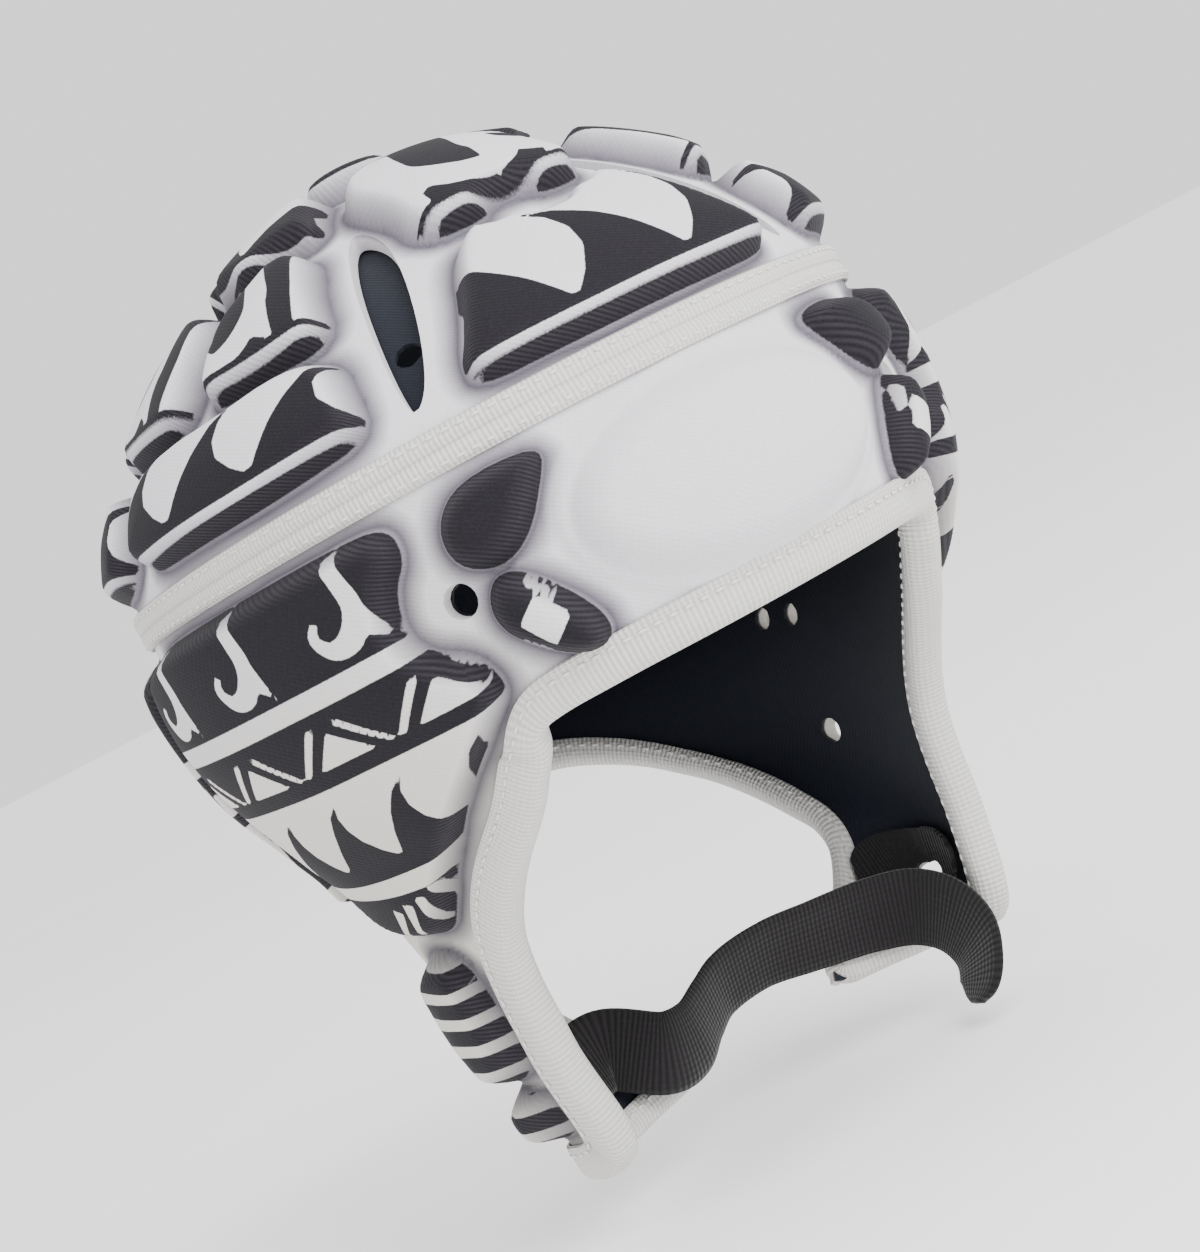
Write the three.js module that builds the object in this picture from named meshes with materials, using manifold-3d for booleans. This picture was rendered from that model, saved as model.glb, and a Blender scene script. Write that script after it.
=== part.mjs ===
// A padded rugby scrum cap, in millimetres. Front is -Y, the wearer's left is +X and up is +Z.
// Every piece is cut from thick sheets that follow one head-shaped surface. A place on that surface
// is an angle phi in degrees (0 at the front, + to the wearer's left) and a level: 0 on the seam,
// 1 at the top of the crown, and minus shares of the flap depth below the seam.
import * as THREE from "three";
import { mergeVertices } from "three/addons/utils/BufferGeometryUtils.js";
import Module from "manifold-3d";

const wasm = await Module();
wasm.setup();

// Driving sizes of the surface, which is the outside of the shell
const HALF_WIDTH = 86;
const FRONT_REACH = 92;
const REAR_REACH = 98;
const CROWN_HEIGHT = 64;
const FLAP_DEPTH = 150;
const SEAM_RISE = 3;
const SEAM_RISE_FADE = 0.3;
const CROWN_POWER = { front: 1.34, side: 1.26, rear: 1.22, height: 1.26 };

// Thicknesses and clearances
const SHELL = 4;
const LINING = 1;
const PAD_HEIGHT = 8;
const GAP = 0.3;

// Seam tape, edge binding and webbing
const TAPE_ABOVE = 2.6;
const TAPE_BELOW = 5.2;
const TAPE_THICK = 1.2;
const BINDING_THICK = 1;
const BINDING_WIDTH = 6.5;
const STRAP_WIDTH = 17;
const STRAP_THICK = 2;
const STRAP_END_ROUND = 8;
const STRAP_END_LEAST = 0.12;
const SEWN_REACH = 0.05;
const TAB_THICK = 1.2;
const SLOT_LENGTH = 15;
const SLOT_WIDTH = 4.2;

// Radii of the round vents
const TEMPLE_HOLE = 3.6;
const EAR_HOLE = 3.3;
const VENT_HOLE = 3.2;

// Mesh fineness
const COLUMNS = 24;
const CROWN_LEVELS = [1, 0.8, 0.6, 0.4, 0.2];
const SIDE_LEVELS = [-0.17, -0.33, -0.47, -0.62, -0.78, -0.92, -1.07];
const DRILL_SIDES = 8;
const SLOT_END_STEPS = 3;
const OVAL_SIDES = 20;
const FACET_TOLERANCE = 0.1;

// Reaches of the level sections below the seam, as shares of the three reaches above
const SECTIONS = [
  { drop: 0.0, side: 1.0, front: 1.0, rear: 1.0 },
  { drop: 0.233, side: 0.975, front: 1.075, rear: 0.985 },
  { drop: 0.4, side: 0.86, front: 1.02, rear: 0.94 },
  { drop: 0.467, side: 0.81, front: 0.98, rear: 0.9 },
  { drop: 0.65, side: 0.755, front: 0.87, rear: 0.75 },
  { drop: 0.75, side: 0.74, front: 0.83, rear: 0.5 },
  { drop: 0.833, side: 0.73, front: 0.8, rear: 0.3 },
  { drop: 1.0, side: 0.68, front: 0.76, rear: 0.15 },
  { drop: 1.08, side: 0.655, front: 0.74, rear: 0.13 },
];

// Lower edge of the cap seen from the side: y as a share of the front (-) or rear (+) reach
const EDGE_PROFILE = [
  { reach: -1.6, drop: 0.353 },
  { reach: -0.83, drop: 0.36 },
  { reach: -0.72, drop: 0.41 },
  { reach: -0.58, drop: 0.485 },
  { reach: -0.41, drop: 0.56 },
  { reach: -0.29, drop: 0.633 },
  { reach: -0.235, drop: 0.71 },
  { reach: -0.215, drop: 0.82 },
  { reach: -0.165, drop: 1.0 },
  { reach: 0.145, drop: 1.0 },
  { reach: 0.215, drop: 0.833 },
  { reach: 0.4, drop: 0.73 },
  { reach: 0.59, drop: 0.65 },
  { reach: 0.76, drop: 0.565 },
  { reach: 0.9, drop: 0.5 },
  { reach: 1.04, drop: 0.487 },
  { reach: 1.6, drop: 0.487 },
];

// Neck opening seen from behind: x as a share of the half width
const NECK_ARCH = [
  { across: 0.25, drop: 1.0 },
  { across: 0.41, drop: 0.9 },
  { across: 0.515, drop: 0.82 },
  { across: 0.515, drop: 0.73 },
  { across: 0.46, drop: 0.64 },
  { across: 0.3, drop: 0.56 },
  { across: 0.12, drop: 0.52 },
];

// Pads on the centre line, each outline listed on the +X half only and mirrored onto the other
const CENTRE_PADS = {
  front_pad: [[3, 0.36], [5, 0.385], [9, 0.385], [13, 0.41], [18, 0.37], [22, 0.24], [25, 0.15], [25, 0.09], [12, 0.085]],
  crown_pad: [[4, 0.475], [8, 0.445], [20, 0.46], [23, 0.57], [32, 0.66], [32, 0.75], [14, 0.78]],
  back_pad: [[179, 0.31], [160, 0.31], [143, 0.3], [142, 0.2], [142, 0.1], [160, 0.095], [179, 0.095]],
  back_pad_upper: [[179, 0.59], [156, 0.58], [152, 0.46], [151, 0.35], [165, 0.345], [179, 0.345]],
  nape_pad: [[179, -0.055], [157, -0.055], [155, -0.2], [155, -0.36], [160, -0.4], [179, -0.4]],
};

// Pads that come in pairs, as places (phi, level) on the +X side
const PAIRED_PADS = {
  temple_pad_upper: [[22, -0.06], [33, -0.055], [38, -0.09], [38.5, -0.14], [34, -0.165], [29, -0.145], [24, -0.09]],
  temple_pad_lower: [[36, -0.175], [32, -0.18], [27, -0.255], [26.5, -0.297], [30, -0.31], [35, -0.276], [38.5, -0.225]],
  side_pad: [[44, -0.06], [52, -0.054], [75, -0.053], [97, -0.055], [101, -0.09], [102, -0.22], [100.5, -0.4], [98, -0.53],
    [92, -0.575], [80, -0.59], [75, -0.55], [69, -0.49], [57, -0.4], [47, -0.335], [42, -0.3], [43, -0.25], [47.5, -0.225],
    [49.5, -0.185], [47.5, -0.13], [44, -0.1]],
  cheek_pad_upper: [[82, -0.635], [91, -0.62], [99, -0.64], [104, -0.705], [120.5, -0.705], [120, -0.72], [115.5, -0.775],
    [112.5, -0.82], [100, -0.835], [83, -0.835], [81.5, -0.73]],
  cheek_pad_lower: [[84, -0.86], [100, -0.862], [111, -0.86], [112, -0.9], [111, -0.94], [100, -0.942], [84, -0.94], [82.5, -0.9]],
  rear_pad: [[107, -0.06], [128, -0.053], [150, -0.055], [150, -0.2], [150, -0.37], [142, -0.44], [130, -0.51], [116, -0.53],
    [114.5, -0.48], [114.5, -0.38], [107.5, -0.34], [107, -0.2]],
  side_pad_top: [[40, 0.11], [40, 0.2], [41, 0.29], [47, 0.325], [62, 0.315], [74, 0.32], [86, 0.3], [88, 0.2], [87, 0.11],
    [75, 0.1], [62, 0.095], [50, 0.1]],
  rear_pad_top: [[94, 0.11], [94, 0.2], [96, 0.3], [108, 0.32], [122, 0.32], [135, 0.3], [136, 0.2], [136, 0.11], [122, 0.1],
    [108, 0.1]],
  hook_pad: [[40.5, 0.345], [41.5, 0.46], [43, 0.585], [54, 0.6], [60, 0.555], [68, 0.52], [69, 0.42], [67, 0.35], [54, 0.355]],
  rear_hook_pad: [[73, 0.355], [75, 0.46], [74, 0.54], [84, 0.6], [95, 0.585], [103, 0.53], [104, 0.42], [103, 0.35], [88, 0.345]],
  rear_pad_upper: [[110, 0.355], [110, 0.46], [112, 0.56], [124, 0.6], [138, 0.59], [147, 0.56], [145, 0.46], [143, 0.35],
    [127, 0.355]],
  ridge_pad: [[41, 0.64], [44, 0.73], [46, 0.82], [66, 0.84], [86, 0.82], [94, 0.73], [97, 0.64], [84, 0.645], [68, 0.62], [56, 0.65]],
  ridge_pad_rear: [[108, 0.64], [108, 0.73], [110, 0.82], [135, 0.84], [162, 0.83], [166, 0.73], [168, 0.64], [140, 0.65], [124, 0.65]],
};

const OVAL = { level: -0.178, halfPhi: 24, halfLevel: 0.122 };
const TOP_PAD = { level: 0.875, frontStretch: 0.82 };

// Crescent recesses beside the front pad, as places (phi, level) on the +X side
const VENT = [[33.5, 0.1], [30.5, 0.16], [27.8, 0.28], [25.8, 0.42], [25.5, 0.53], [29, 0.6], [34, 0.62], [35.5, 0.5], [35, 0.3], [34.5, 0.16]];

// Round vents, as places on the +X side with their radii
const DRILLED = [
  { phi: 41, level: -0.18, radius: TEMPLE_HOLE },
  { phi: 107, level: -0.66, radius: EAR_HOLE },
];
const LINING_VENT = { phi: 31.5, level: 0.28, radius: VENT_HOLE };

// Slotted tab inside the left flap
const TAB = [[80, -0.845], [104, -0.848], [134, -0.845], [138, -0.9], [142, -0.955], [110, -0.965], [83, -0.965]];
const SLOT = { phi: 98, level: -0.92 };

// Sewn end of the strap on the inside of the right flap, and where the strap lifts off it
const SEWN_END = [[85, -0.855], [104, -0.855], [121, -0.855], [123, -0.9], [121, -0.942], [104, -0.945], [85, -0.942]];
const STRAP_LIFT_OFF = [
  { phi: -104, level: -0.9, lift: -8.2 },
  { phi: -118, level: -0.9, lift: -8.8 },
  { phi: -134, level: -0.905, lift: -10.6 },
];

// Free stretch of the strap under the chin: shares of half width (x) and flap depth (y and z), and
// the turn of its width about its own run in degrees
const STRAP_FREE = [
  { x: -0.34, y: 0.0, z: -0.925, turn: 6 },
  { x: -0.25, y: 0.012, z: -0.93, turn: 14 },
  { x: -0.155, y: 0.035, z: -0.91, turn: 22 },
  { x: -0.07, y: 0.05, z: -0.893, turn: 26 },
  { x: 0.072, y: 0.047, z: -0.888, turn: 26 },
  { x: 0.21, y: 0.03, z: -0.9, turn: 20 },
  { x: 0.4, y: 0.005, z: -0.92, turn: 10 },
  { x: 0.49, y: -0.03, z: -0.938, turn: 2 },
  { x: 0.516, y: -0.09, z: -0.968, turn: 0 },
  { x: 0.5, y: -0.135, z: -1.01, turn: 0 },
  { x: 0.45, y: -0.155, z: -1.05, turn: 0 },
  { x: 0.4, y: -0.155, z: -1.085, turn: 0 },
];

// Colours of the cloths
const MATERIALS = {
  knit: { color: 0xe6e3e6, roughness: 0.85 },
  print: { color: 0x3a3640, roughness: 0.85 },
  tape: { color: 0xdedcd8, roughness: 0.9 },
  lining: { color: 0x17181d, roughness: 0.95 },
  webbing: { color: 0x0a0a0b, roughness: 0.9 },
};

// Smooth value of a table's column between its rows
function column(table, key, name, at) {
  const last = table.length - 1;
  let i = 0;
  while (i < last - 1 && at > table[i + 1][key]) i++;
  const slope = (a, b) => (table[b][name] - table[a][name]) / (table[b][key] - table[a][key]);
  const step = table[i + 1][key] - table[i][key];
  const here = slope(i, i + 1);
  const blend = (other) => (other * here > 0 ? (other + here) / 2 : 0);
  const into = i > 0 ? blend(slope(i - 1, i)) : here;
  const out = i < last - 1 ? blend(slope(i + 1, i + 2)) : here;
  const t = THREE.MathUtils.clamp((at - table[i][key]) / step, 0, 1);
  const a = table[i][name];
  const b = table[i + 1][name];
  return (
    a * (2 * t ** 3 - 3 * t ** 2 + 1) + into * step * (t ** 3 - 2 * t ** 2 + t) +
    b * (3 * t ** 2 - 2 * t ** 3) + out * step * (t ** 3 - t ** 2)
  );
}

// Point of the outer shell surface
function surfacePoint(phi, level) {
  const angle = THREE.MathUtils.degToRad(phi);
  const facesFront = Math.cos(angle) > 0;
  const reach = facesFront ? FRONT_REACH : REAR_REACH;
  if (level >= 0) {
    const climb = (Math.min(level, 1) * Math.PI) / 2;
    const power = facesFront ? CROWN_POWER.front : CROWN_POWER.rear;
    const across = HALF_WIDTH * Math.cos(climb) ** CROWN_POWER.side;
    const along = reach * Math.cos(climb) ** power;
    const fade = Math.cos(climb) ** 2;
    return new THREE.Vector3(
      across * Math.sin(angle),
      -along * Math.cos(angle),
      CROWN_HEIGHT * Math.sin(climb) ** CROWN_POWER.height + SEAM_RISE * Math.cos(angle) * fade,
    );
  }
  const across = HALF_WIDTH * column(SECTIONS, "drop", "side", -level);
  const along = reach * column(SECTIONS, "drop", facesFront ? "front" : "rear", -level);
  const fade = Math.max(0, 1 + level / SEAM_RISE_FADE);
  return new THREE.Vector3(
    across * Math.sin(angle),
    -along * Math.cos(angle),
    FLAP_DEPTH * level + SEAM_RISE * Math.cos(angle) * fade * fade,
  );
}

// Outward direction of the surface
function surfaceNormal(phi, level) {
  if (level > 0.985) return new THREE.Vector3(0, 0, 1);
  const dPhi = 1;
  const dLevel = 0.012;
  const across = surfacePoint(phi + dPhi, level).sub(surfacePoint(phi - dPhi, level));
  const up = surfacePoint(phi, level + dLevel).sub(surfacePoint(phi, level - dLevel));
  return across.cross(up).normalize();
}

// Point at a height above (+) or below (-) the shell surface
function lifted(phi, level, lift) {
  return surfacePoint(phi, level).addScaledVector(surfaceNormal(phi, level), lift);
}

// Level of a given height above the seam, on the crown
function crownLevel(height) {
  return (Math.asin((height / CROWN_HEIGHT) ** (1 / CROWN_POWER.height)) * 2) / Math.PI;
}

// A closed three-dimensional body from triangles of points
function bodyFrom(triangles) {
  const positions = triangles.flatMap((triangle) => triangle.flatMap((p) => [p.x, p.y, p.z]));
  const geometry = new THREE.BufferGeometry();
  geometry.setAttribute("position", new THREE.Float32BufferAttribute(positions, 3));
  return solid(geometry);
}

function solid(geometry) {
  geometry.deleteAttribute("normal");
  geometry.deleteAttribute("uv");
  const merged = mergeVertices(geometry, 1e-4);
  const body = new wasm.Manifold(
    new wasm.Mesh({
      numProp: 3,
      vertProperties: merged.attributes.position.array,
      triVerts: new Uint32Array(merged.index.array),
    }),
  );
  if (body.volume() < 0) throw new Error("a body is inside out");
  return body;
}

// Triangles between two rings of points that may differ in number, both starting at phi 0
function stitch(ringA, ringB) {
  const triangles = [];
  const nA = ringA.length;
  const nB = ringB.length;
  const stepsA = nA > 1 ? nA : 0;
  const stepsB = nB > 1 ? nB : 0;
  let a = 0;
  let b = 0;
  while (a < stepsA || b < stepsB) {
    const nextA = a < stepsA ? (a + 1) / nA : Infinity;
    const nextB = b < stepsB ? (b + 1) / nB : Infinity;
    if (nextA <= nextB) {
      triangles.push([ringA[a % nA], ringA[(a + 1) % nA], ringB[b % nB]]);
      a++;
    } else {
      triangles.push([ringA[a % nA], ringB[(b + 1) % nB], ringB[b % nB]]);
      b++;
    }
  }
  return triangles;
}

// A ring of surface points, with fewer columns where the crown narrows
function ring(level, lift) {
  if (level >= 1) return [lifted(0, 1, lift)];
  const share = level > 0 ? Math.cos((level * Math.PI) / 2) : 1;
  const count = 4 * Math.ceil((COLUMNS * Math.min(1, share * 1.15)) / 4);
  return Array.from({ length: count }, (_, i) => lifted((360 * i) / count, level, lift));
}

// Thick sheet between two lifts over rings at falling levels. Both faces are stitched alike, so that
// stacked sheets keep their distance. A sheet that starts at the very top has no rim there.
function sheet(levels, low, high) {
  const face = (lift) => {
    const rings = levels.map((level) => ring(level, lift));
    return rings.slice(1).flatMap((next, i) => stitch(rings[i], next));
  };
  const inside = face(low).map(([a, b, c]) => [a, c, b]);
  const first = levels[0];
  const last = levels[levels.length - 1];
  const topRim = first < 1 ? stitch(ring(first, low), ring(first, high)) : [];
  const bottomRim = stitch(ring(last, high), ring(last, low));
  return bodyFrom([...face(high), ...inside, ...topRim, ...bottomRim].map(([a, b, c]) => [a, c, b]));
}

const crownSheet = (low, high) => sheet([...CROWN_LEVELS, crownLevel(GAP)], low, high);
const sideSheet = (low, high, topLevel) => sheet([topLevel, ...SIDE_LEVELS], low, high);

// Straight-walled plug through the sheets under an outline of (phi, level) places
function plug(outline, low, high) {
  const flat = outline.map(([phi, level]) => {
    const angle = THREE.MathUtils.degToRad(phi);
    return new THREE.Vector2((1 - level) * Math.sin(angle), -(1 - level) * Math.cos(angle));
  });
  const clockwise = THREE.ShapeUtils.isClockWise(flat);
  const places = clockwise ? [...outline].reverse() : outline;
  const chart = clockwise ? flat.reverse() : flat;
  const inner = places.map(([phi, level]) => lifted(phi, level, low));
  const outer = places.map(([phi, level]) => lifted(phi, level, high));
  const triangles = [];
  for (const [a, b, c] of THREE.ShapeUtils.triangulateShape(chart, [])) {
    triangles.push([outer[a], outer[b], outer[c]]);
    triangles.push([inner[a], inner[c], inner[b]]);
  }
  for (let i = 0; i < places.length; i++) {
    const next = (i + 1) % places.length;
    triangles.push([inner[i], inner[next], outer[next]]);
    triangles.push([inner[i], outer[next], outer[i]]);
  }
  return bodyFrom(triangles);
}

// Round tool square to the surface
function drill(phi, level, radius) {
  const tool = new THREE.CylinderGeometry(radius, radius, 5 * PAD_HEIGHT, DRILL_SIDES);
  const turn = new THREE.Quaternion().setFromUnitVectors(new THREE.Vector3(0, 1, 0), surfaceNormal(phi, level));
  const at = lifted(phi, level, 0);
  tool.applyQuaternion(turn);
  tool.translate(at.x, at.y, at.z);
  return solid(tool);
}

// A line of points moved to its left by an inset
function movedLine(points, inset) {
  const last = points.length - 1;
  return points.map((point, i) => {
    const [from, to] = [points[Math.max(i - 1, 0)], points[Math.min(i + 1, last)]];
    const before = (i > 0 ? point.clone().sub(from) : to.clone().sub(point)).normalize();
    const after = (i < last ? to.clone().sub(point) : point.clone().sub(from)).normalize();
    const left = new THREE.Vector2(-before.y, before.x);
    const miter = left.clone().add(new THREE.Vector2(-after.y, after.x)).normalize();
    return point.clone().addScaledVector(miter, inset / miter.dot(left));
  });
}

// Everything under a line, as a block run out along an axis
function blockUnder(line, depth, sideways) {
  const bottom = -2 * FLAP_DEPTH;
  const ends = [new THREE.Vector2(line[0].x, bottom), new THREE.Vector2(line[line.length - 1].x, bottom)];
  const block = new THREE.ExtrudeGeometry(new THREE.Shape([...ends, ...line.reverse()]), { depth, bevelEnabled: false });
  block.applyMatrix4(new THREE.Matrix4().makeBasis(...sideways));
  return block;
}

// Everything below the lower edge and in the neck opening, moved into the cap by an inset
function belowEdge(inset) {
  const profile = EDGE_PROFILE.map(({ reach, drop }) => {
    const scale = reach < 0 ? FRONT_REACH : REAR_REACH;
    return new THREE.Vector2(reach * scale, -drop * FLAP_DEPTH);
  });
  const [x, y, z] = [new THREE.Vector3(1, 0, 0), new THREE.Vector3(0, 1, 0), new THREE.Vector3(0, 0, 1)];
  const below = blockUnder(movedLine(profile, inset), 4 * HALF_WIDTH, [y, z, x]);
  below.translate(-2 * HALF_WIDTH, 0, 0);
  const rising = (side) => ({ across, drop }) => new THREE.Vector2(side * across * HALF_WIDTH, -drop * FLAP_DEPTH);
  const arch = [...NECK_ARCH.map(rising(-1)), ...[...NECK_ARCH].reverse().map(rising(1))];
  const behind = blockUnder(movedLine(arch, inset), 2 * REAR_REACH, [x, z, y.clone().negate()]);
  behind.translate(0, 2 * REAR_REACH, 0);
  return solid(below).add(solid(behind));
}

// Outline on the +X side turned over to the -X side
const mirrored = (outline) => outline.map(([phi, level]) => [-phi, level]);
const onBothSides = (outline) => [outline, mirrored(outline)];

// Lifts of the stacked sheets, measured from the outside of the shell
const LINING_TOP = -SHELL - GAP;
const LINING_BOTTOM = LINING_TOP - LINING;
const WRAP_CLEAR_LOW = LINING_BOTTOM - GAP;
const WRAP_LOW = WRAP_CLEAR_LOW - BINDING_THICK;
const WRAP_CLEAR_HIGH = GAP;
const WRAP_HIGH = GAP + BINDING_THICK;
const TAB_TOP = WRAP_LOW - GAP;
const TAB_BOTTOM = TAB_TOP - TAB_THICK;
const SEAM_GAP_LEVEL = -GAP / FLAP_DEPTH;

const group = new THREE.Group();
const materials = Object.fromEntries(
  Object.entries(MATERIALS).map(([name, look]) => [
    name,
    new THREE.MeshStandardMaterial({ ...look, metalness: 0, name }),
  ]),
);

// Adds a body to the group as a named mesh
function add(name, body, material) {
  const mesh = body.simplify(FACET_TOLERANCE).getMesh();
  const geometry = new THREE.BufferGeometry();
  geometry.setAttribute("position", new THREE.BufferAttribute(new Float32Array(mesh.vertProperties), 3));
  geometry.setIndex(new THREE.BufferAttribute(new Uint32Array(mesh.triVerts), 1));
  geometry.computeVertexNormals();
  const node = new THREE.Mesh(geometry, materials[material]);
  node.name = name;
  group.add(node);
}

// Cuts a body with each tool in turn
const cut = (body, tools) => tools.reduce((left, tool) => left.subtract(tool), body);

const roundVents = DRILLED.flatMap(({ phi, level, radius }) => [drill(phi, level, radius), drill(-phi, level, radius)]);

function addShells() {
  const recesses = onBothSides(VENT).map((outline) => plug(outline, -3 * SHELL, 4 * SHELL));
  add("crown_shell", cut(crownSheet(-SHELL, 0), recesses), "knit");
  const slot = slotTool();
  const sides = cut(sideSheet(-SHELL, 0, SEAM_GAP_LEVEL), [belowEdge(0), ...roundVents, slot]);
  add("lower_shell", sides, "knit");
}

function addLinings() {
  const vents = [LINING_VENT.phi, -LINING_VENT.phi].map((phi) => drill(phi, LINING_VENT.level, LINING_VENT.radius));
  add("crown_lining", cut(crownSheet(LINING_BOTTOM, LINING_TOP), vents), "lining");
  const sides = sideSheet(LINING_BOTTOM, LINING_TOP, SEAM_GAP_LEVEL);
  add("side_lining", cut(sides, [belowEdge(0), ...roundVents, slotTool()]), "lining");
}

// Tape that covers the seam all round
function addSeamTape() {
  const levels = [crownLevel(TAPE_ABOVE), SEAM_GAP_LEVEL, -TAPE_BELOW / FLAP_DEPTH];
  add("seam_tape", sheet(levels, WRAP_CLEAR_HIGH, WRAP_CLEAR_HIGH + TAPE_THICK), "tape");
}

// Elastic binding folded over the whole lower edge
function addBinding() {
  const top = SIDE_LEVELS[0];
  const wrap = sideSheet(WRAP_LOW, WRAP_HIGH, top).subtract(belowEdge(-GAP - BINDING_THICK));
  const core = sideSheet(WRAP_CLEAR_LOW, WRAP_CLEAR_HIGH, top / 2).subtract(belowEdge(-GAP));
  add("edge_binding", wrap.intersect(belowEdge(BINDING_WIDTH)).subtract(core), "tape");
}

// Padding blocks, each one a plug cut out of a sheet that stands on the shell
function addPads() {
  const crown = crownSheet(GAP, GAP + PAD_HEIGHT);
  const sides = sideSheet(GAP, GAP + PAD_HEIGHT, SEAM_GAP_LEVEL);
  const pad = (name, outline, material) => {
    const sheet = outline[0][1] > 0 ? crown : sides;
    add(name, sheet.intersect(plug(outline, -SHELL, 6 * PAD_HEIGHT)), material);
  };
  const oval = Array.from({ length: OVAL_SIDES }, (_, i) => {
    const turn = (2 * Math.PI * i) / OVAL_SIDES;
    return [OVAL.halfPhi * Math.cos(turn), OVAL.level + OVAL.halfLevel * Math.sin(turn)];
  });
  pad("brow_oval", oval, "knit");
  const top = Array.from({ length: OVAL_SIDES }, (_, i) => {
    const phi = (360 * i) / OVAL_SIDES;
    const stretch = 1 - (1 - TOP_PAD.frontStretch) * Math.cos(THREE.MathUtils.degToRad(phi)) ** 2;
    return [phi, 1 - (1 - TOP_PAD.level) * stretch];
  });
  pad("top_pad", top, "print");
  for (const [name, half] of Object.entries(CENTRE_PADS)) {
    const other = half.filter(([phi]) => phi < 179).map(([phi, level]) => [-phi, level]);
    const centred = half.map(([phi, level]) => [phi >= 179 ? 180 : phi, level]);
    pad(name, [...centred, ...other.reverse()], "print");
  }
  for (const [name, outline] of Object.entries(PAIRED_PADS)) {
    pad(`${name}_left`, outline, "print");
    pad(`${name}_right`, mirrored(outline), "print");
  }
}

// Long round-ended tool for the strap slot, square to the left flap
function slotTool() {
  const half = (SLOT_LENGTH - SLOT_WIDTH) / 2;
  const shape = new THREE.Shape();
  shape.absarc(half, 0, SLOT_WIDTH / 2, -Math.PI / 2, Math.PI / 2);
  shape.absarc(-half, 0, SLOT_WIDTH / 2, Math.PI / 2, (3 * Math.PI) / 2);
  const tool = new THREE.ExtrudeGeometry(shape, { depth: 6 * PAD_HEIGHT, bevelEnabled: false, curveSegments: SLOT_END_STEPS });
  tool.translate(0, 0, -3 * PAD_HEIGHT);
  const out = surfaceNormal(SLOT.phi, SLOT.level);
  const along = new THREE.Vector3(0, 0, 1).cross(out).normalize();
  tool.applyMatrix4(new THREE.Matrix4().makeBasis(along, out.clone().cross(along), out));
  const at = lifted(SLOT.phi, SLOT.level, 0);
  tool.translate(at.x, at.y, at.z);
  return solid(tool);
}

function addTab() {
  const tab = sideSheet(TAB_BOTTOM, TAB_TOP, SEAM_GAP_LEVEL).intersect(plug(TAB, -6 * SHELL, 6 * SHELL));
  add("strap_tab", tab.subtract(slotTool()), "webbing");
}

// Webbing strap: sewn inside the right flap, under the chin and over the tab of the left flap
function addStrap() {
  const sewnTop = WRAP_CLEAR_LOW;
  const sewnSheet = sideSheet(sewnTop - STRAP_THICK, sewnTop, SEAM_GAP_LEVEL);
  const sewn = sewnSheet.intersect(plug(mirrored(SEWN_END), -6 * SHELL, 6 * SHELL));
  const stations = STRAP_LIFT_OFF.map(({ phi, level, lift }) => ({ at: lifted(phi, level, lift), turn: 0 }));
  for (const { x, y, z, turn } of STRAP_FREE)
    stations.push({ at: new THREE.Vector3(x * HALF_WIDTH, y * FLAP_DEPTH, z * FLAP_DEPTH), turn });
  const path = new THREE.CatmullRomCurve3(stations.map(({ at }) => at), false, "centripetal");
  const steps = 3 * (stations.length - 1);
  const length = path.getLength();
  const [{ phi, level }] = STRAP_LIFT_OFF;
  const carried = surfacePoint(phi, level + SEWN_REACH).sub(surfacePoint(phi, level - SEWN_REACH));
  const rings = Array.from({ length: steps + 1 }, (_, i) => {
    const share = i / steps;
    const ahead = path.getTangent(share);
    carried.addScaledVector(ahead, -ahead.dot(carried)).normalize();
    const place = share * (stations.length - 1);
    const k = Math.min(Math.floor(place), stations.length - 2);
    const turn = THREE.MathUtils.lerp(stations[k].turn, stations[k + 1].turn, place - k);
    const toEnd = Math.min(1, ((1 - share) * length) / STRAP_END_ROUND);
    const round = Math.sqrt(Math.max(STRAP_END_LEAST, 1 - (1 - toEnd) ** 2));
    const wide = carried.clone().applyAxisAngle(ahead, THREE.MathUtils.degToRad(turn));
    const thick = ahead.clone().cross(wide).multiplyScalar(STRAP_THICK / 2);
    wide.multiplyScalar((STRAP_WIDTH / 2) * round);
    return [[1, 1], [-1, 1], [-1, -1], [1, -1]].map(([w, t]) =>
      path.getPoint(share).addScaledVector(wide, w).addScaledVector(thick, t),
    );
  });
  const triangles = rings.slice(1).flatMap((next, i) => stitch(rings[i], next));
  const last = rings[rings.length - 1];
  for (const [a, b, c, d] of [rings[0], [...last].reverse()]) triangles.push([a, c, b], [a, d, c]);
  add("chin_strap", sewn.add(bodyFrom(triangles)), "webbing");
}

addShells();
addLinings();
addSeamTape();
addBinding();
addPads();
addTab();
addStrap();

// The origin is where the top of the head touches the lining
const root = new THREE.Group();
group.position.z = -(CROWN_HEIGHT + LINING_BOTTOM);
root.add(group);
export default root;
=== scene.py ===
import math

import bpy
import numpy as np
from mathutils import Matrix, Vector


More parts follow.
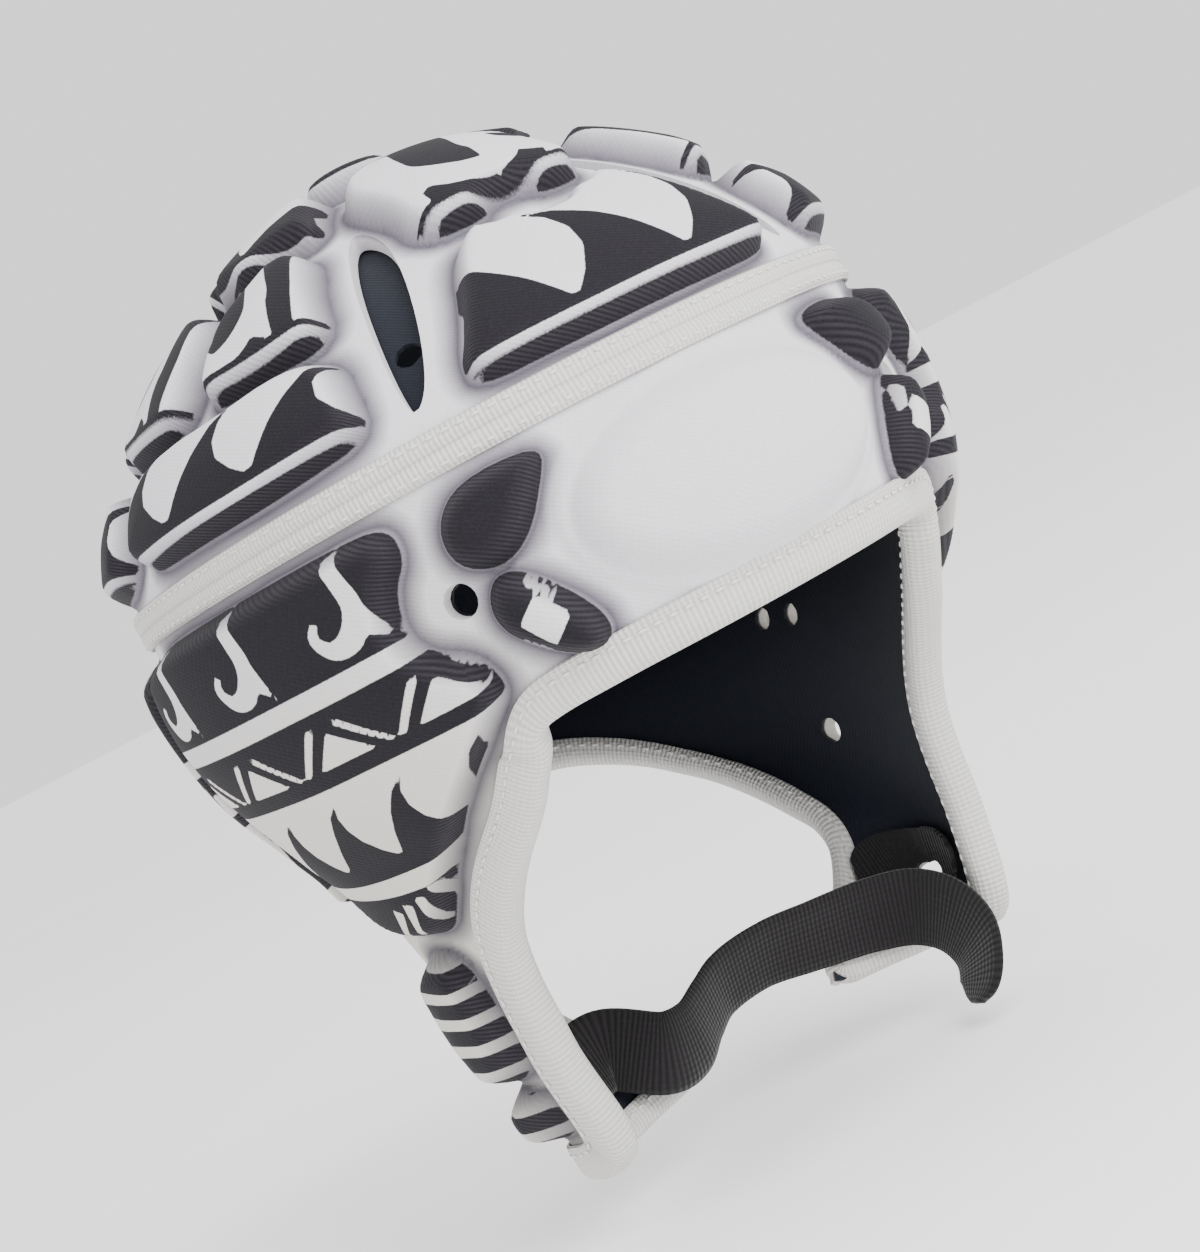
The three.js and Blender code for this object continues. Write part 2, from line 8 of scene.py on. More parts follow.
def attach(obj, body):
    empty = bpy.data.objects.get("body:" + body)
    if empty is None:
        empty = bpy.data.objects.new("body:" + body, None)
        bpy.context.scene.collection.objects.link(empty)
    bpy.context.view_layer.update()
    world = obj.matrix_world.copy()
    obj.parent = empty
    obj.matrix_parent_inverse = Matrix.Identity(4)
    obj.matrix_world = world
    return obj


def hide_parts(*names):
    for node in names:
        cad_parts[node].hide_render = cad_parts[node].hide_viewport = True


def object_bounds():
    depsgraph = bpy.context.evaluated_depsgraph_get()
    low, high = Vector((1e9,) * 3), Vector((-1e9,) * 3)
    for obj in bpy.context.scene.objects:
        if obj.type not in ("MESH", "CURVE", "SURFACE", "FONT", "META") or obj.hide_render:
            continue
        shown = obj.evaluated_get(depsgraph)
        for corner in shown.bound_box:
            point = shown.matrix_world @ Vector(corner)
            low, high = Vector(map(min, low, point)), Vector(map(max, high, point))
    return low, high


bl_info = {
    "name": "Padded Scrum Cap",
    "version": (1, 0, 0),
    "blender": (4, 5, 0),
    "location": "View3D > Sidebar > Scrum Cap",
    "description": "Builds the cloth, pads, binding and strap of a padded scrum cap on its frame",
    "category": "Object",
}

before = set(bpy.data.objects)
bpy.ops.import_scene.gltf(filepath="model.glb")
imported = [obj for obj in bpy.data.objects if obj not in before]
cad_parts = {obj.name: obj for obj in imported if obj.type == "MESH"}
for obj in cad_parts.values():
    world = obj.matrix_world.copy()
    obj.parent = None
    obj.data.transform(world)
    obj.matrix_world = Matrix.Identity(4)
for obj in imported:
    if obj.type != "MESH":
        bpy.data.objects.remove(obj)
CAD_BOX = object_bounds()

# Sizes in millimetres, as in the solid model. Front is -Y, the wearer's left is +X.
HALF_WIDTH = 86.0
FRONT_REACH = 92.0
REAR_REACH = 98.0
CROWN_HEIGHT = 64.0
FLAP_DEPTH = 150.0
SEAM_RISE = 3.0
SEAM_RISE_FADE = 0.3
POWER_FRONT, POWER_REAR, POWER_SIDE, POWER_HEIGHT = 1.34, 1.22, 1.26, 1.26
SHELL = 4.0
LINING = 1.0
PAD_HEIGHT = 8.0
GAP = 0.3
LINING_TOP = -SHELL - GAP
LINING_BOTTOM = LINING_TOP - LINING
RAISED = CROWN_HEIGHT + LINING_BOTTOM
MM = 0.001

# Shares of the three reaches at falling depths below the seam
SECTION_DROP = [0, 0.233, 0.4, 0.467, 0.65, 0.75, 0.833, 1.0, 1.08]
SECTION_SIDE = [1.0, 0.975, 0.86, 0.81, 0.755, 0.74, 0.73, 0.68, 0.655]
SECTION_FRONT = [1.0, 1.075, 1.02, 0.98, 0.87, 0.83, 0.8, 0.76, 0.74]
SECTION_REAR = [1.0, 0.985, 0.94, 0.9, 0.75, 0.5, 0.3, 0.15, 0.13]

# Lower edge seen from the side (reach share, depth share) and neck opening seen from behind
EDGE_PROFILE = [
    (-1.6, 0.353), (-0.83, 0.36), (-0.72, 0.41), (-0.58, 0.485), (-0.41, 0.56), (-0.29, 0.633),
    (-0.235, 0.71), (-0.215, 0.82), (-0.165, 1.0), (0.145, 1.0), (0.215, 0.833), (0.4, 0.73),
    (0.59, 0.65), (0.76, 0.565), (0.9, 0.5), (1.04, 0.487), (1.6, 0.487),
]
NECK_ARCH = [(0.25, 1.0), (0.41, 0.9), (0.515, 0.82), (0.515, 0.73), (0.46, 0.64), (0.3, 0.56),
    (0.12, 0.52)]

# Pad outlines as places (degrees round from the front, level). Levels run 0 at the seam to 1 at the top,
# and down as shares of the flap depth.
CENTRE_PADS = {
    "front_pad": [(3, 0.36), (5, 0.385), (9, 0.385), (13, 0.41), (18, 0.37), (22, 0.24), (25, 0.15),
        (25, 0.09), (12, 0.085)],
    "crown_pad": [(4, 0.475), (8, 0.445), (20, 0.46), (23, 0.57), (32, 0.66), (32, 0.75), (14, 0.78)],
    "back_pad": [(180, 0.31), (160, 0.31), (143, 0.3), (142, 0.2), (142, 0.1), (160, 0.095), (180, 0.095)],
    "back_pad_upper": [(180, 0.59), (156, 0.58), (152, 0.46), (151, 0.35), (165, 0.345), (180, 0.345)],
    "nape_pad": [(180, -0.055), (157, -0.055), (155, -0.2), (155, -0.36), (160, -0.4), (180, -0.4)],
}
PAIRED_PADS = {
    "temple_pad_upper": [(22, -0.06), (33, -0.055), (38, -0.09), (38.5, -0.14), (34, -0.165),
        (29, -0.145), (24, -0.09)],
    "temple_pad_lower": [(36, -0.175), (32, -0.18), (27, -0.255), (26.5, -0.297), (30, -0.31),
        (35, -0.276), (38.5, -0.225)],
    "side_pad": [(44, -0.06), (52, -0.054), (75, -0.053), (97, -0.055), (101, -0.09), (102, -0.22),
        (100.5, -0.4), (98, -0.53),
                 (92, -0.575), (80, -0.59), (75, -0.55), (69, -0.49), (57, -0.4), (47, -0.335),
                 (42, -0.3), (43, -0.25),
                 (47.5, -0.225), (49.5, -0.185), (47.5, -0.13), (44, -0.1)],
    "cheek_pad_upper": [(82, -0.635), (91, -0.62), (99, -0.64), (104, -0.705), (120.5, -0.705),
        (120, -0.72), (115.5, -0.775),
                        (112.5, -0.82), (100, -0.835), (83, -0.835), (81.5, -0.73)],
    "cheek_pad_lower": [(84, -0.86), (100, -0.862), (111, -0.86), (112, -0.9), (111, -0.94),
        (100, -0.942), (84, -0.94),
                        (82.5, -0.9)],
    "rear_pad": [(107, -0.06), (128, -0.053), (150, -0.055), (150, -0.2), (150, -0.37), (142, -0.44),
        (130, -0.51), (116, -0.53),
                 (114.5, -0.48), (114.5, -0.38), (107.5, -0.34), (107, -0.2)],
    "side_pad_top": [(40, 0.11), (40, 0.2), (41, 0.29), (47, 0.325), (62, 0.315), (74, 0.32), (86, 0.3),
        (88, 0.2), (87, 0.11),
                     (75, 0.1), (62, 0.095), (50, 0.1)],
    "rear_pad_top": [(94, 0.11), (94, 0.2), (96, 0.3), (108, 0.32), (122, 0.32), (135, 0.3), (136, 0.2),
        (136, 0.11),
                     (122, 0.1), (108, 0.1)],
    "hook_pad": [(40.5, 0.345), (41.5, 0.46), (43, 0.585), (54, 0.6), (60, 0.555), (68, 0.52), (69, 0.42),
        (67, 0.35),
                 (54, 0.355)],
    "rear_hook_pad": [(73, 0.355), (75, 0.46), (74, 0.54), (84, 0.6), (95, 0.585), (103, 0.53),
        (104, 0.42), (103, 0.35),
                      (88, 0.345)],
    "rear_pad_upper": [(110, 0.355), (110, 0.46), (112, 0.56), (124, 0.6), (138, 0.59), (147, 0.56),
        (145, 0.46), (143, 0.35),
                       (127, 0.355)],
    "ridge_pad": [(41, 0.64), (44, 0.73), (46, 0.82), (66, 0.84), (86, 0.82), (94, 0.73), (97, 0.64),
        (84, 0.645), (68, 0.62),
                  (56, 0.65)],
    "ridge_pad_rear": [(108, 0.64), (108, 0.73), (110, 0.82), (135, 0.84), (162, 0.83), (166, 0.73),
        (168, 0.64), (140, 0.65),
                       (124, 0.65)],
}
OVAL_LEVEL, OVAL_HALF_PHI, OVAL_HALF_LEVEL = -0.178, 24.0, 0.122
TOP_PAD_LEVEL, TOP_PAD_STRETCH = 0.875, 0.82
VENT = [(33.5, 0.1), (30.5, 0.16), (27.8, 0.28), (25.8, 0.42), (25.5, 0.53), (29, 0.6), (34, 0.62),
    (35.5, 0.5),
        (35, 0.3), (34.5, 0.16)]

# Round vents: degrees, level, radius
TEMPLE_HOLE = (41, -0.18, 3.6)
EAR_HOLE = (107, -0.66, 3.3)
REAR_HOLES = [(104, -0.415, 2.6), (111, -0.405, 2.6), (104.5, -0.468, 2.6), (111.5, -0.458, 2.6)]
LINING_VENT = (31.5, 0.28, 3.2)

TAB = [(80, -0.845), (104, -0.848), (134, -0.845), (138, -0.9), (142, -0.955), (110, -0.965), (83, -0.965)]
SLOT_PHI, SLOT_LEVEL, SLOT_LENGTH, SLOT_WIDTH = 98, -0.92, 15.0, 4.2

SEWN_END = [(85, -0.855), (104, -0.855), (121, -0.855), (123, -0.9), (121, -0.942), (104, -0.945),
    (85, -0.942)]
STRAP_LIFT_OFF = [(-104, -0.9, -8.2), (-118, -0.9, -8.8), (-134, -0.905, -10.6)]
STRAP_FREE = [
    (-0.34, 0.0, -0.925, 6), (-0.25, 0.012, -0.93, 14), (-0.155, 0.035, -0.91, 22),
    (-0.07, 0.05, -0.893, 26),
    (0.072, 0.047, -0.888, 26), (0.21, 0.03, -0.9, 20), (0.4, 0.005, -0.92, 10), (0.49, -0.03, -0.938, 2),
    (0.516, -0.09, -0.968, 0), (0.5, -0.135, -1.01, 0), (0.45, -0.155, -1.05, 0), (0.4, -0.155, -1.085, 0),
]
STRAP_END_ROUND = 8.0
STRAP_COLUMNS = 13

# Camera at the photograph's angle, worked out from the object's own points
CAMERA_AZIMUTH, CAMERA_ELEVATION, CAMERA_ROLL = -26.06, 2.73, 27.32
CAMERA_DISTANCE = 598.22
CAMERA_AIM = (4.11, -22.37)
AIM_HEIGHT = -25.0
FOCAL_SHARE = 4.41 * 598.22 / 1200


# Surface of the shell, the same formula as the solid model's

def table_column(values, at):
    """Smooth values of a table's column at depths below the seam."""
    drop, row = np.array(SECTION_DROP), np.array(values, float)
    slope = np.diff(row) / np.diff(drop)
    inner = np.where(slope[:-1] * slope[1:] > 0, (slope[:-1] + slope[1:]) / 2, 0.0)
    tangent = np.concatenate([slope[:1], inner, slope[-1:]])
    i = np.clip(np.searchsorted(drop, at, side="left") - 1, 0, len(drop) - 2)
    step = np.diff(drop)[i]
    t = np.clip((at - drop[i]) / step, 0, 1)
    return (
        row[i] * (2 * t**3 - 3 * t**2 + 1)
        + tangent[i] * step * (t**3 - 2 * t**2 + t)
        + row[i + 1] * (3 * t**2 - 2 * t**3)
        + tangent[i + 1] * step * (t**3 - t**2)
    )


def surface(phi, level):
    """Points of the shell's outer face, in millimetres with the seam at height 0."""
    phi, level = np.broadcast_arrays(np.asarray(phi, float), np.asarray(level, float))
    angle = np.radians(phi)
    front = np.cos(angle) > 0
    reach = np.where(front, FRONT_REACH, REAR_REACH)
    climb = np.clip(level, 0, 1) * np.pi / 2
    c, s = np.clip(np.cos(climb), 0, 1), np.sin(climb)
    up_x = HALF_WIDTH * c**POWER_SIDE
    up_y = reach * c ** np.where(front, POWER_FRONT, POWER_REAR)
    up_z = CROWN_HEIGHT * s**POWER_HEIGHT + SEAM_RISE * np.cos(angle) * c**2
    depth = np.clip(-level, 0, None)
    down_x = HALF_WIDTH * table_column(SECTION_SIDE, depth)
    down_y = reach * np.where(front, table_column(SECTION_FRONT, depth), table_column(SECTION_REAR, depth))
    fade = np.clip(1 - depth / SEAM_RISE_FADE, 0, None)
    down_z = -FLAP_DEPTH * depth + SEAM_RISE * np.cos(angle) * fade**2
    above = level >= 0
    x = np.where(above, up_x, down_x) * np.sin(angle)
    y = -np.where(above, up_y, down_y) * np.cos(angle)
    return np.stack([x, y, np.where(above, up_z, down_z)], axis=-1)


def unit(vectors):
    return vectors / np.maximum(np.linalg.norm(vectors, axis=-1, keepdims=True), 1e-12)


def outward(phi, level):
    """Outward direction of the shell."""
    level = np.asarray(level, float)
    at = np.minimum(level, 0.985)
    across = surface(np.asarray(phi) + 0.5, at) - surface(np.asarray(phi) - 0.5, at)
    up = surface(phi, at + 0.006) - surface(phi, at - 0.006)
    normal = unit(np.cross(across, up))
    to_pole = np.clip((level - 0.93) / 0.05, 0, 1)[..., None]
    return unit(normal * (1 - to_pole) + np.array([0.0, 0, 1]) * to_pole)


def lifted(phi, level, lift):
    """Points at a height above or below the shell's outer face."""
    return surface(phi, level) + outward(phi, level) * np.asarray(lift, float)[..., None]


def crown_level(height):
    """Level on the crown of a height above the seam."""
    return math.asin((height / CROWN_HEIGHT) ** (1 / POWER_HEIGHT)) * 2 / math.pi


def even_levels(start, stop, spacing, phi=90):
    """Levels from start to stop that lie evenly along the surface."""
    fine = np.linspace(start, stop, 800)
    points = surface(phi, fine)
    length = np.concatenate([[0], np.cumsum(np.linalg.norm(np.diff(points, axis=0), axis=1))])
    count = max(2, int(round(length[-1] / spacing)))
    return np.interp(np.linspace(0, length[-1], count + 1), length, fine)


def ring_grid(levels, spacing):
    """Rings of places at falling levels, and the triangles between them."""
    phis, rows, starts, counts = [], [], [], []
    total = 0
    for level in levels:
        if level >= 1:
            count = 1
        else:
            around = surface(np.linspace(0, 360, 97), level)
            length = np.linalg.norm(np.diff(around, axis=0), axis=1).sum()
            count = 24 * max(1, math.ceil(length / spacing / 24))
        phis.append(-180 + 360 * np.arange(count) / count)
        rows.append(np.full(count, float(level)))
        starts.append(total)
        counts.append(count)
        total += count
    triangles = []
    for k in range(len(levels) - 1):
        triangles.append(between_rings(starts[k], counts[k], starts[k + 1], counts[k + 1]))
    return np.concatenate(phis), np.concatenate(rows), np.vstack(triangles)


def between_rings(start_a, count_a, start_b, count_b):
    """Triangles between an upper ring a and a lower ring b, facing out."""
    if count_a == count_b:
        i = np.arange(count_a)
        j = (i + 1) % count_a
        first = np.stack([start_b + i, start_b + j, start_a + j], 1)
        second = np.stack([start_b + i, start_a + j, start_a + i], 1)
        return np.vstack([first, second])
    out = []
    steps_a, steps_b = (count_a if count_a > 1 else 0), (count_b if count_b > 1 else 0)
    a = b = 0
    while a < steps_a or b < steps_b:
        next_a = (a + 1) / count_a if a < steps_a else math.inf
        next_b = (b + 1) / count_b if b < steps_b else math.inf
        here_a, here_b = start_a + a % count_a, start_b + b % count_b
        if next_a <= next_b:
            out.append((here_b, start_a + (a + 1) % count_a, here_a))
            a += 1
        else:
            out.append((here_b, start_b + (b + 1) % count_b, here_a))
            b += 1
    return np.array(out)


def patch_grid(phi_from, phi_to, level_from, level_to, spacing):
    """A square grid of places over part of the surface, and its triangles."""
    levels = even_levels(level_from, level_to, spacing, (phi_from + phi_to) / 2)
    line = surface(np.linspace(phi_from, phi_to, 60), (level_from + level_to) / 2)
    columns = max(3, int(np.linalg.norm(np.diff(line, axis=0), axis=1).sum() / spacing) + 1)
    phi, level = np.meshgrid(np.linspace(phi_from, phi_to, columns), levels)
    a = (np.arange(len(levels) - 1)[:, None] * columns + np.arange(columns - 1)[None]).ravel()
    b = a + columns
    triangles = np.vstack([np.stack([b, b + 1, a + 1], 1), np.stack([b, a + 1, a], 1)])
    return phi.ravel(), level.ravel(), triangles


# Cutting a sheet of places along a smooth outline

def step_between(phi, level, a, b, t):
    """Places at a share t of the way from places a to places b, the short way round."""
    turn = (phi[b] - phi[a] + 180) % 360 - 180
    return phi[a] + turn * t, level[a] + (level[b] - level[a]) * t


def cut_sheet(phi, level, triangles, keep):
    """Keeps the places where keep is positive, with a clean edge where it is zero."""
    phi, level = phi.copy(), level.copy()
    value = keep(phi, level)
    pairs = np.vstack([triangles[:, [0, 1]], triangles[:, [1, 2]], triangles[:, [2, 0]]])
    edges = np.unique(np.sort(pairs, axis=1), axis=0)
    crossing = (value[edges[:, 0]] > 0) != (value[edges[:, 1]] > 0)
    a, b = edges[crossing].T
    kept_first = value[a] > 0
    a, b = np.where(kept_first, a, b), np.where(kept_first, b, a)
    low, high = np.zeros(len(a)), np.ones(len(a))
    for _ in range(10):
        mid = (low + high) / 2
        inside = keep(*step_between(phi, level, a, b, mid)) > 0
        low, high = np.where(inside, mid, low), np.where(inside, high, mid)
    share = (low + high) / 2
    new_phi, new_level = step_between(phi, level, a, b, share)
    state = np.where(value > 0, 1, -1)
    near = np.where(share < 0.22, a, np.where(share > 0.78, b, -1))
    for k in np.nonzero(near >= 0)[0]:
        if abs(state[near[k]]) == 1:
            phi[near[k]], level[near[k]] = new_phi[k], new_level[k]
            state[near[k]] = 0
    fresh = {}
    extra_phi, extra_level = [], []
    for k in range(len(a)):
        if state[a[k]] > 0 and state[b[k]] < 0:
            fresh[(min(a[k], b[k]), max(a[k], b[k]))] = len(phi) + len(extra_phi)
            extra_phi.append(new_phi[k])
            extra_level.append(new_level[k])
    corner = state[triangles]
    whole = (corner >= 0).all(axis=1) & (corner > 0).any(axis=1)
    out = [triangles[whole]]
    split = (corner < 0).any(axis=1) & (corner > 0).any(axis=1)
    pieces = []
    for triangle in triangles[split]:
        loop = []
        for p, q in zip(triangle, np.roll(triangle, -1)):
            if state[p] >= 0:
                loop.append(p)
            key = (min(p, q), max(p, q))
            if state[p] * state[q] < 0:
                loop.append(fresh[key])
        for k in range(1, len(loop) - 1):
            pieces.append((loop[0], loop[k], loop[k + 1]))
    if pieces:
        out.append(np.array(pieces))
    phi, level = np.append(phi, extra_phi), np.append(level, extra_level)
    triangles = np.vstack(out)
    used = np.unique(triangles)
    place = np.full(len(phi), -1)
    place[used] = np.arange(len(used))
    return phi[used], level[used], place[triangles]


def rim_edges(triangles):
    """Directed edges that only one triangle has."""
    pairs = np.vstack([triangles[:, [0, 1]], triangles[:, [1, 2]], triangles[:, [2, 0]]])
    key = np.sort(pairs, axis=1)
    _, first, count = np.unique(key, axis=0, return_index=True, return_counts=True)
    return pairs[first[count == 1]]


def rim_loops(triangles):
    """Closed runs of rim places."""
    follow = {int(i): int(j) for i, j in rim_edges(triangles)}
    loops = []
    while follow:
        start = next(iter(follow))
        loop = [start]
        here = follow.pop(start)
        while here != start and here in follow:
            loop.append(here)
            here = follow.pop(here)
        loops.append(loop)
    return loops


def closed_sheet(high, low, triangles):
    """Points and faces of a sheet closed between its two faces along every rim."""
    count = len(high)
    rim = rim_edges(triangles)
    i, j = rim.T
    walls = np.vstack([np.stack([j, i, i + count], 1), np.stack([j, i + count, j + count], 1)])
    faces = np.vstack([triangles, triangles[:, ::-1] + count, walls])
    return np.vstack([high, low]), faces


# Distances to outlines

def rounded(outline, times=2):
    """An outline with its corners cut round."""
    points = np.array(outline, float)
    for _ in range(times):
        after = np.roll(points, -1, axis=0)
        points = np.stack([0.75 * points + 0.25 * after, 0.25 * points + 0.75 * after], 1).reshape(-1, 2)
    return points


def smooth_line(points, each=8):
    """An open line through points, curved."""
    p = np.array(points, float)
    p = np.vstack([2 * p[0] - p[1], p, 2 * p[-1] - p[-2]])
    t = np.linspace(0, 1, each, endpoint=False)[:, None]
    out = []
    for k in range(1, len(p) - 2):
        p0, p1, p2, p3 = p[k - 1 : k + 3]
        out.append(0.5 * (2 * p1 + (p2 - p0) * t + (2 * p0 - 5 * p1 + 4 * p2 - p3) * t**2
            + (3 * p1 - p0 - 3 * p2 + p3) * t**3))
    return np.vstack(out + [p[-2:-1]])


def to_segments(points, start, stop):
    """Distance of each point to the nearest of some segments, and which one it is."""
    best = np.full(len(points), np.inf)
    which = np.zeros(len(points), int)
    for k in range(len(start)):
        run = stop[k] - start[k]
        t = np.clip(((points - start[k]) @ run) / max(run @ run, 1e-12), 0, 1)
        d = np.linalg.norm(points - start[k] - t[:, None] * run, axis=1)
        nearer = d < best
        best[nearer], which[nearer] = d[nearer], k
    return best, which


def inside_distance(points, outline, reach=12.0):
    """Distance to a closed outline, positive inside and no less than -reach outside."""
    outline = np.asarray(outline, float)
    out = np.full(len(points), -reach)
    low, high = outline.min(0) - reach, outline.max(0) + reach
    near = np.nonzero(((points > low) & (points < high)).all(axis=1))[0]
    if not len(near):
        return out
    p, after = points[near], np.roll(outline, -1, axis=0)
    d, _ = to_segments(p, outline, after)
    crossings = np.zeros(len(p), bool)
    for (x0, y0), (x1, y1) in zip(outline, after):
        spans = (y0 > p[:, 1]) != (y1 > p[:, 1])
        if y1 != y0:
            crossings ^= spans & (p[:, 0] < (x1 - x0) * (p[:, 1] - y0) / (y1 - y0) + x0)
    out[near] = np.where(crossings, d, np.maximum(-d, -reach))
    return out


def above_line(points, line):
    """Distance to an open line that runs left to right, positive on its left side."""
    line = np.asarray(line, float)
    start, stop = line[:-1], line[1:]
    d, k = to_segments(points, start, stop)
    run = stop[k] - start[k]
    side = run[:, 0] * (points - start[k])[:, 1] - run[:, 1] * (points - start[k])[:, 0]
    return np.where(side > 0, d, -d)


PROFILE_LINE = smooth_line(
    [(reach * (FRONT_REACH if reach < 0 else REAR_REACH), -drop * FLAP_DEPTH) for reach,
        drop in EDGE_PROFILE], 5
)
ARCH_HALF = [(across * HALF_WIDTH, -drop * FLAP_DEPTH) for across, drop in NECK_ARCH]
ARCH_LINE = smooth_line([(-x, z) for x, z in [(ARCH_HALF[0][0] - 2, -FLAP_DEPTH * 1.2)] + ARCH_HALF]
                        + [(x, z) for x, z in ARCH_HALF[::-1]
                            + [(ARCH_HALF[0][0] - 2, -FLAP_DEPTH * 1.2)]], 5)


def from_edge(phi, level):
    """Distance in from the lower edge and the neck opening, negative beyond them."""
    p = surface(phi, level)
    side = above_line(p[:, 1:3], PROFILE_LINE)
    behind = np.where(p[:, 1] > 0, above_line(p[:, [0, 2]], ARCH_LINE), np.inf)
    return np.minimum(side, behind)


def from_holes(phi, level, holes):
    """Distance outside the nearest of some round holes, each on both sides."""
    p = surface(phi, level)
    best = np.full(len(p), np.inf)
    for hole_phi, hole_level, radius in holes:
        for side in (1, -1):
            centre, axis = surface(side * hole_phi, hole_level), outward(side * hole_phi, hole_level)
            apart = p - centre
            apart -= (apart @ axis)[:, None] * axis
            near = np.linalg.norm(p - centre, axis=1) < 30
            best = np.minimum(best, np.where(near, np.linalg.norm(apart, axis=1) - radius, np.inf))
    return best


def from_slot(phi, level):
    """Distance outside the strap slot of the left flap."""
    p = surface(phi, level)
    centre, axis = surface(SLOT_PHI, SLOT_LEVEL), outward(SLOT_PHI, SLOT_LEVEL)
    along = unit(np.cross([0.0, 0, 1], axis))
    apart = p - centre
    reach = np.clip(apart @ along, -(SLOT_LENGTH - SLOT_WIDTH) / 2, (SLOT_LENGTH - SLOT_WIDTH) / 2)
    apart = apart - reach[:, None] * along
    apart -= (apart @ axis)[:, None] * axis
    near = np.linalg.norm(p - centre, axis=1) < 30
    return np.where(near, np.linalg.norm(apart, axis=1) - SLOT_WIDTH / 2, np.inf)


class Chart:
    """Flat millimetre coordinates on the surface round one angle: a runs round and b runs up."""

    def __init__(self, phi, above):
        self.phi = phi
        levels = np.linspace(0, 0.98, 200) if above else np.linspace(-1.08, 0, 200)
        points = surface(phi, levels)
        self.levels = levels
        self.up = np.concatenate([[0], np.cumsum(np.linalg.norm(np.diff(points, axis=0), axis=1))])
        if not above:
            self.up -= self.up[-1]
        self.round = np.linalg.norm(surface(phi + 1, levels) - surface(phi - 1, levels),
            axis=1) / math.radians(2)

    def places(self, phi, level):
        turn = np.radians((np.asarray(phi, float) - self.phi + 180) % 360 - 180)
        a = turn * np.interp(level, self.levels, self.round)
        return np.stack([a, np.interp(level, self.levels, self.up)], axis=-1)


# Pads: how far each place of a sheet is inside a pad, the height it has there and the print on it

def pad_outlines():
    """Every pad as (name, side, chart, outline in chart millimetres)."""
    out = []
    for name, half in CENTRE_PADS.items():
        phi = 180 if half[0][0] > 90 else 0
        chart = Chart(phi, half[0][1] > 0)
        rest = [(360 - p if phi else -p, level) for p, level in half if p != 180]
        places = np.array(list(half) + rest[::-1], float)
        out.append((name, 1, chart, rounded(chart.places(places[:, 0], places[:, 1]))))
    for name, outline in PAIRED_PADS.items():
        places = np.array(outline, float)
        middle = (places[:, 0].min() + places[:, 0].max()) / 2
        chart = Chart(middle, outline[0][1] > 0)
        for side in (1, -1):
            out.append((name, side, chart, rounded(chart.places(places[:, 0], places[:, 1]))))
    turn = np.linspace(0, 2 * np.pi, 72, endpoint=False)
    chart = Chart(0, False)
    oval = chart.places(OVAL_HALF_PHI * np.cos(turn), OVAL_LEVEL + OVAL_HALF_LEVEL * np.sin(turn))
    out.append(("brow_oval", 1, chart, oval))
    return out


def shoulder(d, width, foot):
    """Height share of a soft pad edge, from 0 outside to 1 on the pad."""
    s = np.clip((d + foot) / width, 0, 1)
    return 0.4 * s * s * (3 - 2 * s) + 0.6 * (1 - (1 - s) ** 2.4)


def pad_height(name, d):
    if name == "brow_oval":
        shelf = 1.1 * shoulder(d, 3.0, 3.6)
        return shelf + 3.9 * shoulder(d, 8.0, 0.2) + 2.9 * (1 - (1 - np.clip(d / 17, 0, 1)) ** 2)
    return (PAD_HEIGHT - 1.5) * shoulder(d, 5.0, 1.2) + 1.6 * (1 - np.exp(-np.clip(d, 0, None) / 8))


def ripple(points):
    """Slow unevenness of soft cloth over foam, in millimetres."""
    x, y, z = points.T / 10
    return 0.12 * (np.sin(1.9 * x + 0.7 * z) + np.sin(1.6 * y - 1.1 * z + 1.3)
        + np.sin(2.3 * z + 1.2 * x - 0.9 * y))


def box(a0, a1, b0, b1):
    return np.array([(a0, b0), (a1, b0), (a1, b1), (a0, b1)], float)


def fins(a0, a1, base, height, count):
    """A row of curved teeth that lean back towards their start."""
    shape = np.array([(0, -0.04), (0.2, 0.16), (0.33, 0.36), (0.36, 0.58), (0.3, 0.8), (0.14, 1.0),
        (0.4, 0.84),
                      (0.62, 0.6), (0.8, 0.34), (1.0, 0.02), (1.0, -0.04)])
    width = (a1 - a0) / count
    return [np.array([(a0 + width * (k + x), base + height * y) for x, y in shape]) for k in range(count)]


def stroke(points, widths):
    """Outline of a curved line of changing width."""
    line = smooth_line(points, 6)
    wide = np.interp(np.linspace(0, 1, len(line)), np.linspace(0, 1, len(widths)), widths) / 2
    run = np.gradient(line, axis=0)
    side = np.stack([-run[:, 1], run[:, 0]], 1) / np.maximum(np.linalg.norm(run, axis=1), 1e-9)[:, None]
    return np.vstack([line + side * wide[:, None], (line - side * wide[:, None])[::-1]])


def hook(a, top, size):
    """A fish hook: a shank that falls from its top and curls round to a point."""
    points = [(0.1, 0), (0.0, -0.3), (-0.05, -0.62), (0.12, -0.9), (0.42, -0.95), (0.6, -0.75), (0.5, -0.6)]
    hooked = stroke([(a + size * x, top + size * y) for x, y in points],
        [size * w for w in (0.2, 0.22, 0.26, 0.3, 0.2, 0.13, 0.1)])
    barb = np.array([(a - 0.16 * size, top - 0.55 * size), (a + 0.1 * size, top - 0.85 * size),
        (a - 0.28 * size, top - 1.1 * size)])
    return [hooked, barb]


def triangle_row(a0, a1, low, high, count):
    """Plain triangles, each between two slanting bars."""
    out = []
    width = (a1 - a0) / count
    for k in range(count):
        a = a0 + width * (k + 0.5)
        tall = high - low
        out.append(np.array([(a - 0.3 * width, low), (a + 0.3 * width, low), (a, low + 0.8 * tall)]))
        for side in (1, -1):
            out.append(np.array([(a + side * 0.42 * width, low), (a + side * 0.5 * width, low),
                                 (a + side * 0.16 * width, high), (a + side * 0.07 * width, high)]))
    return out


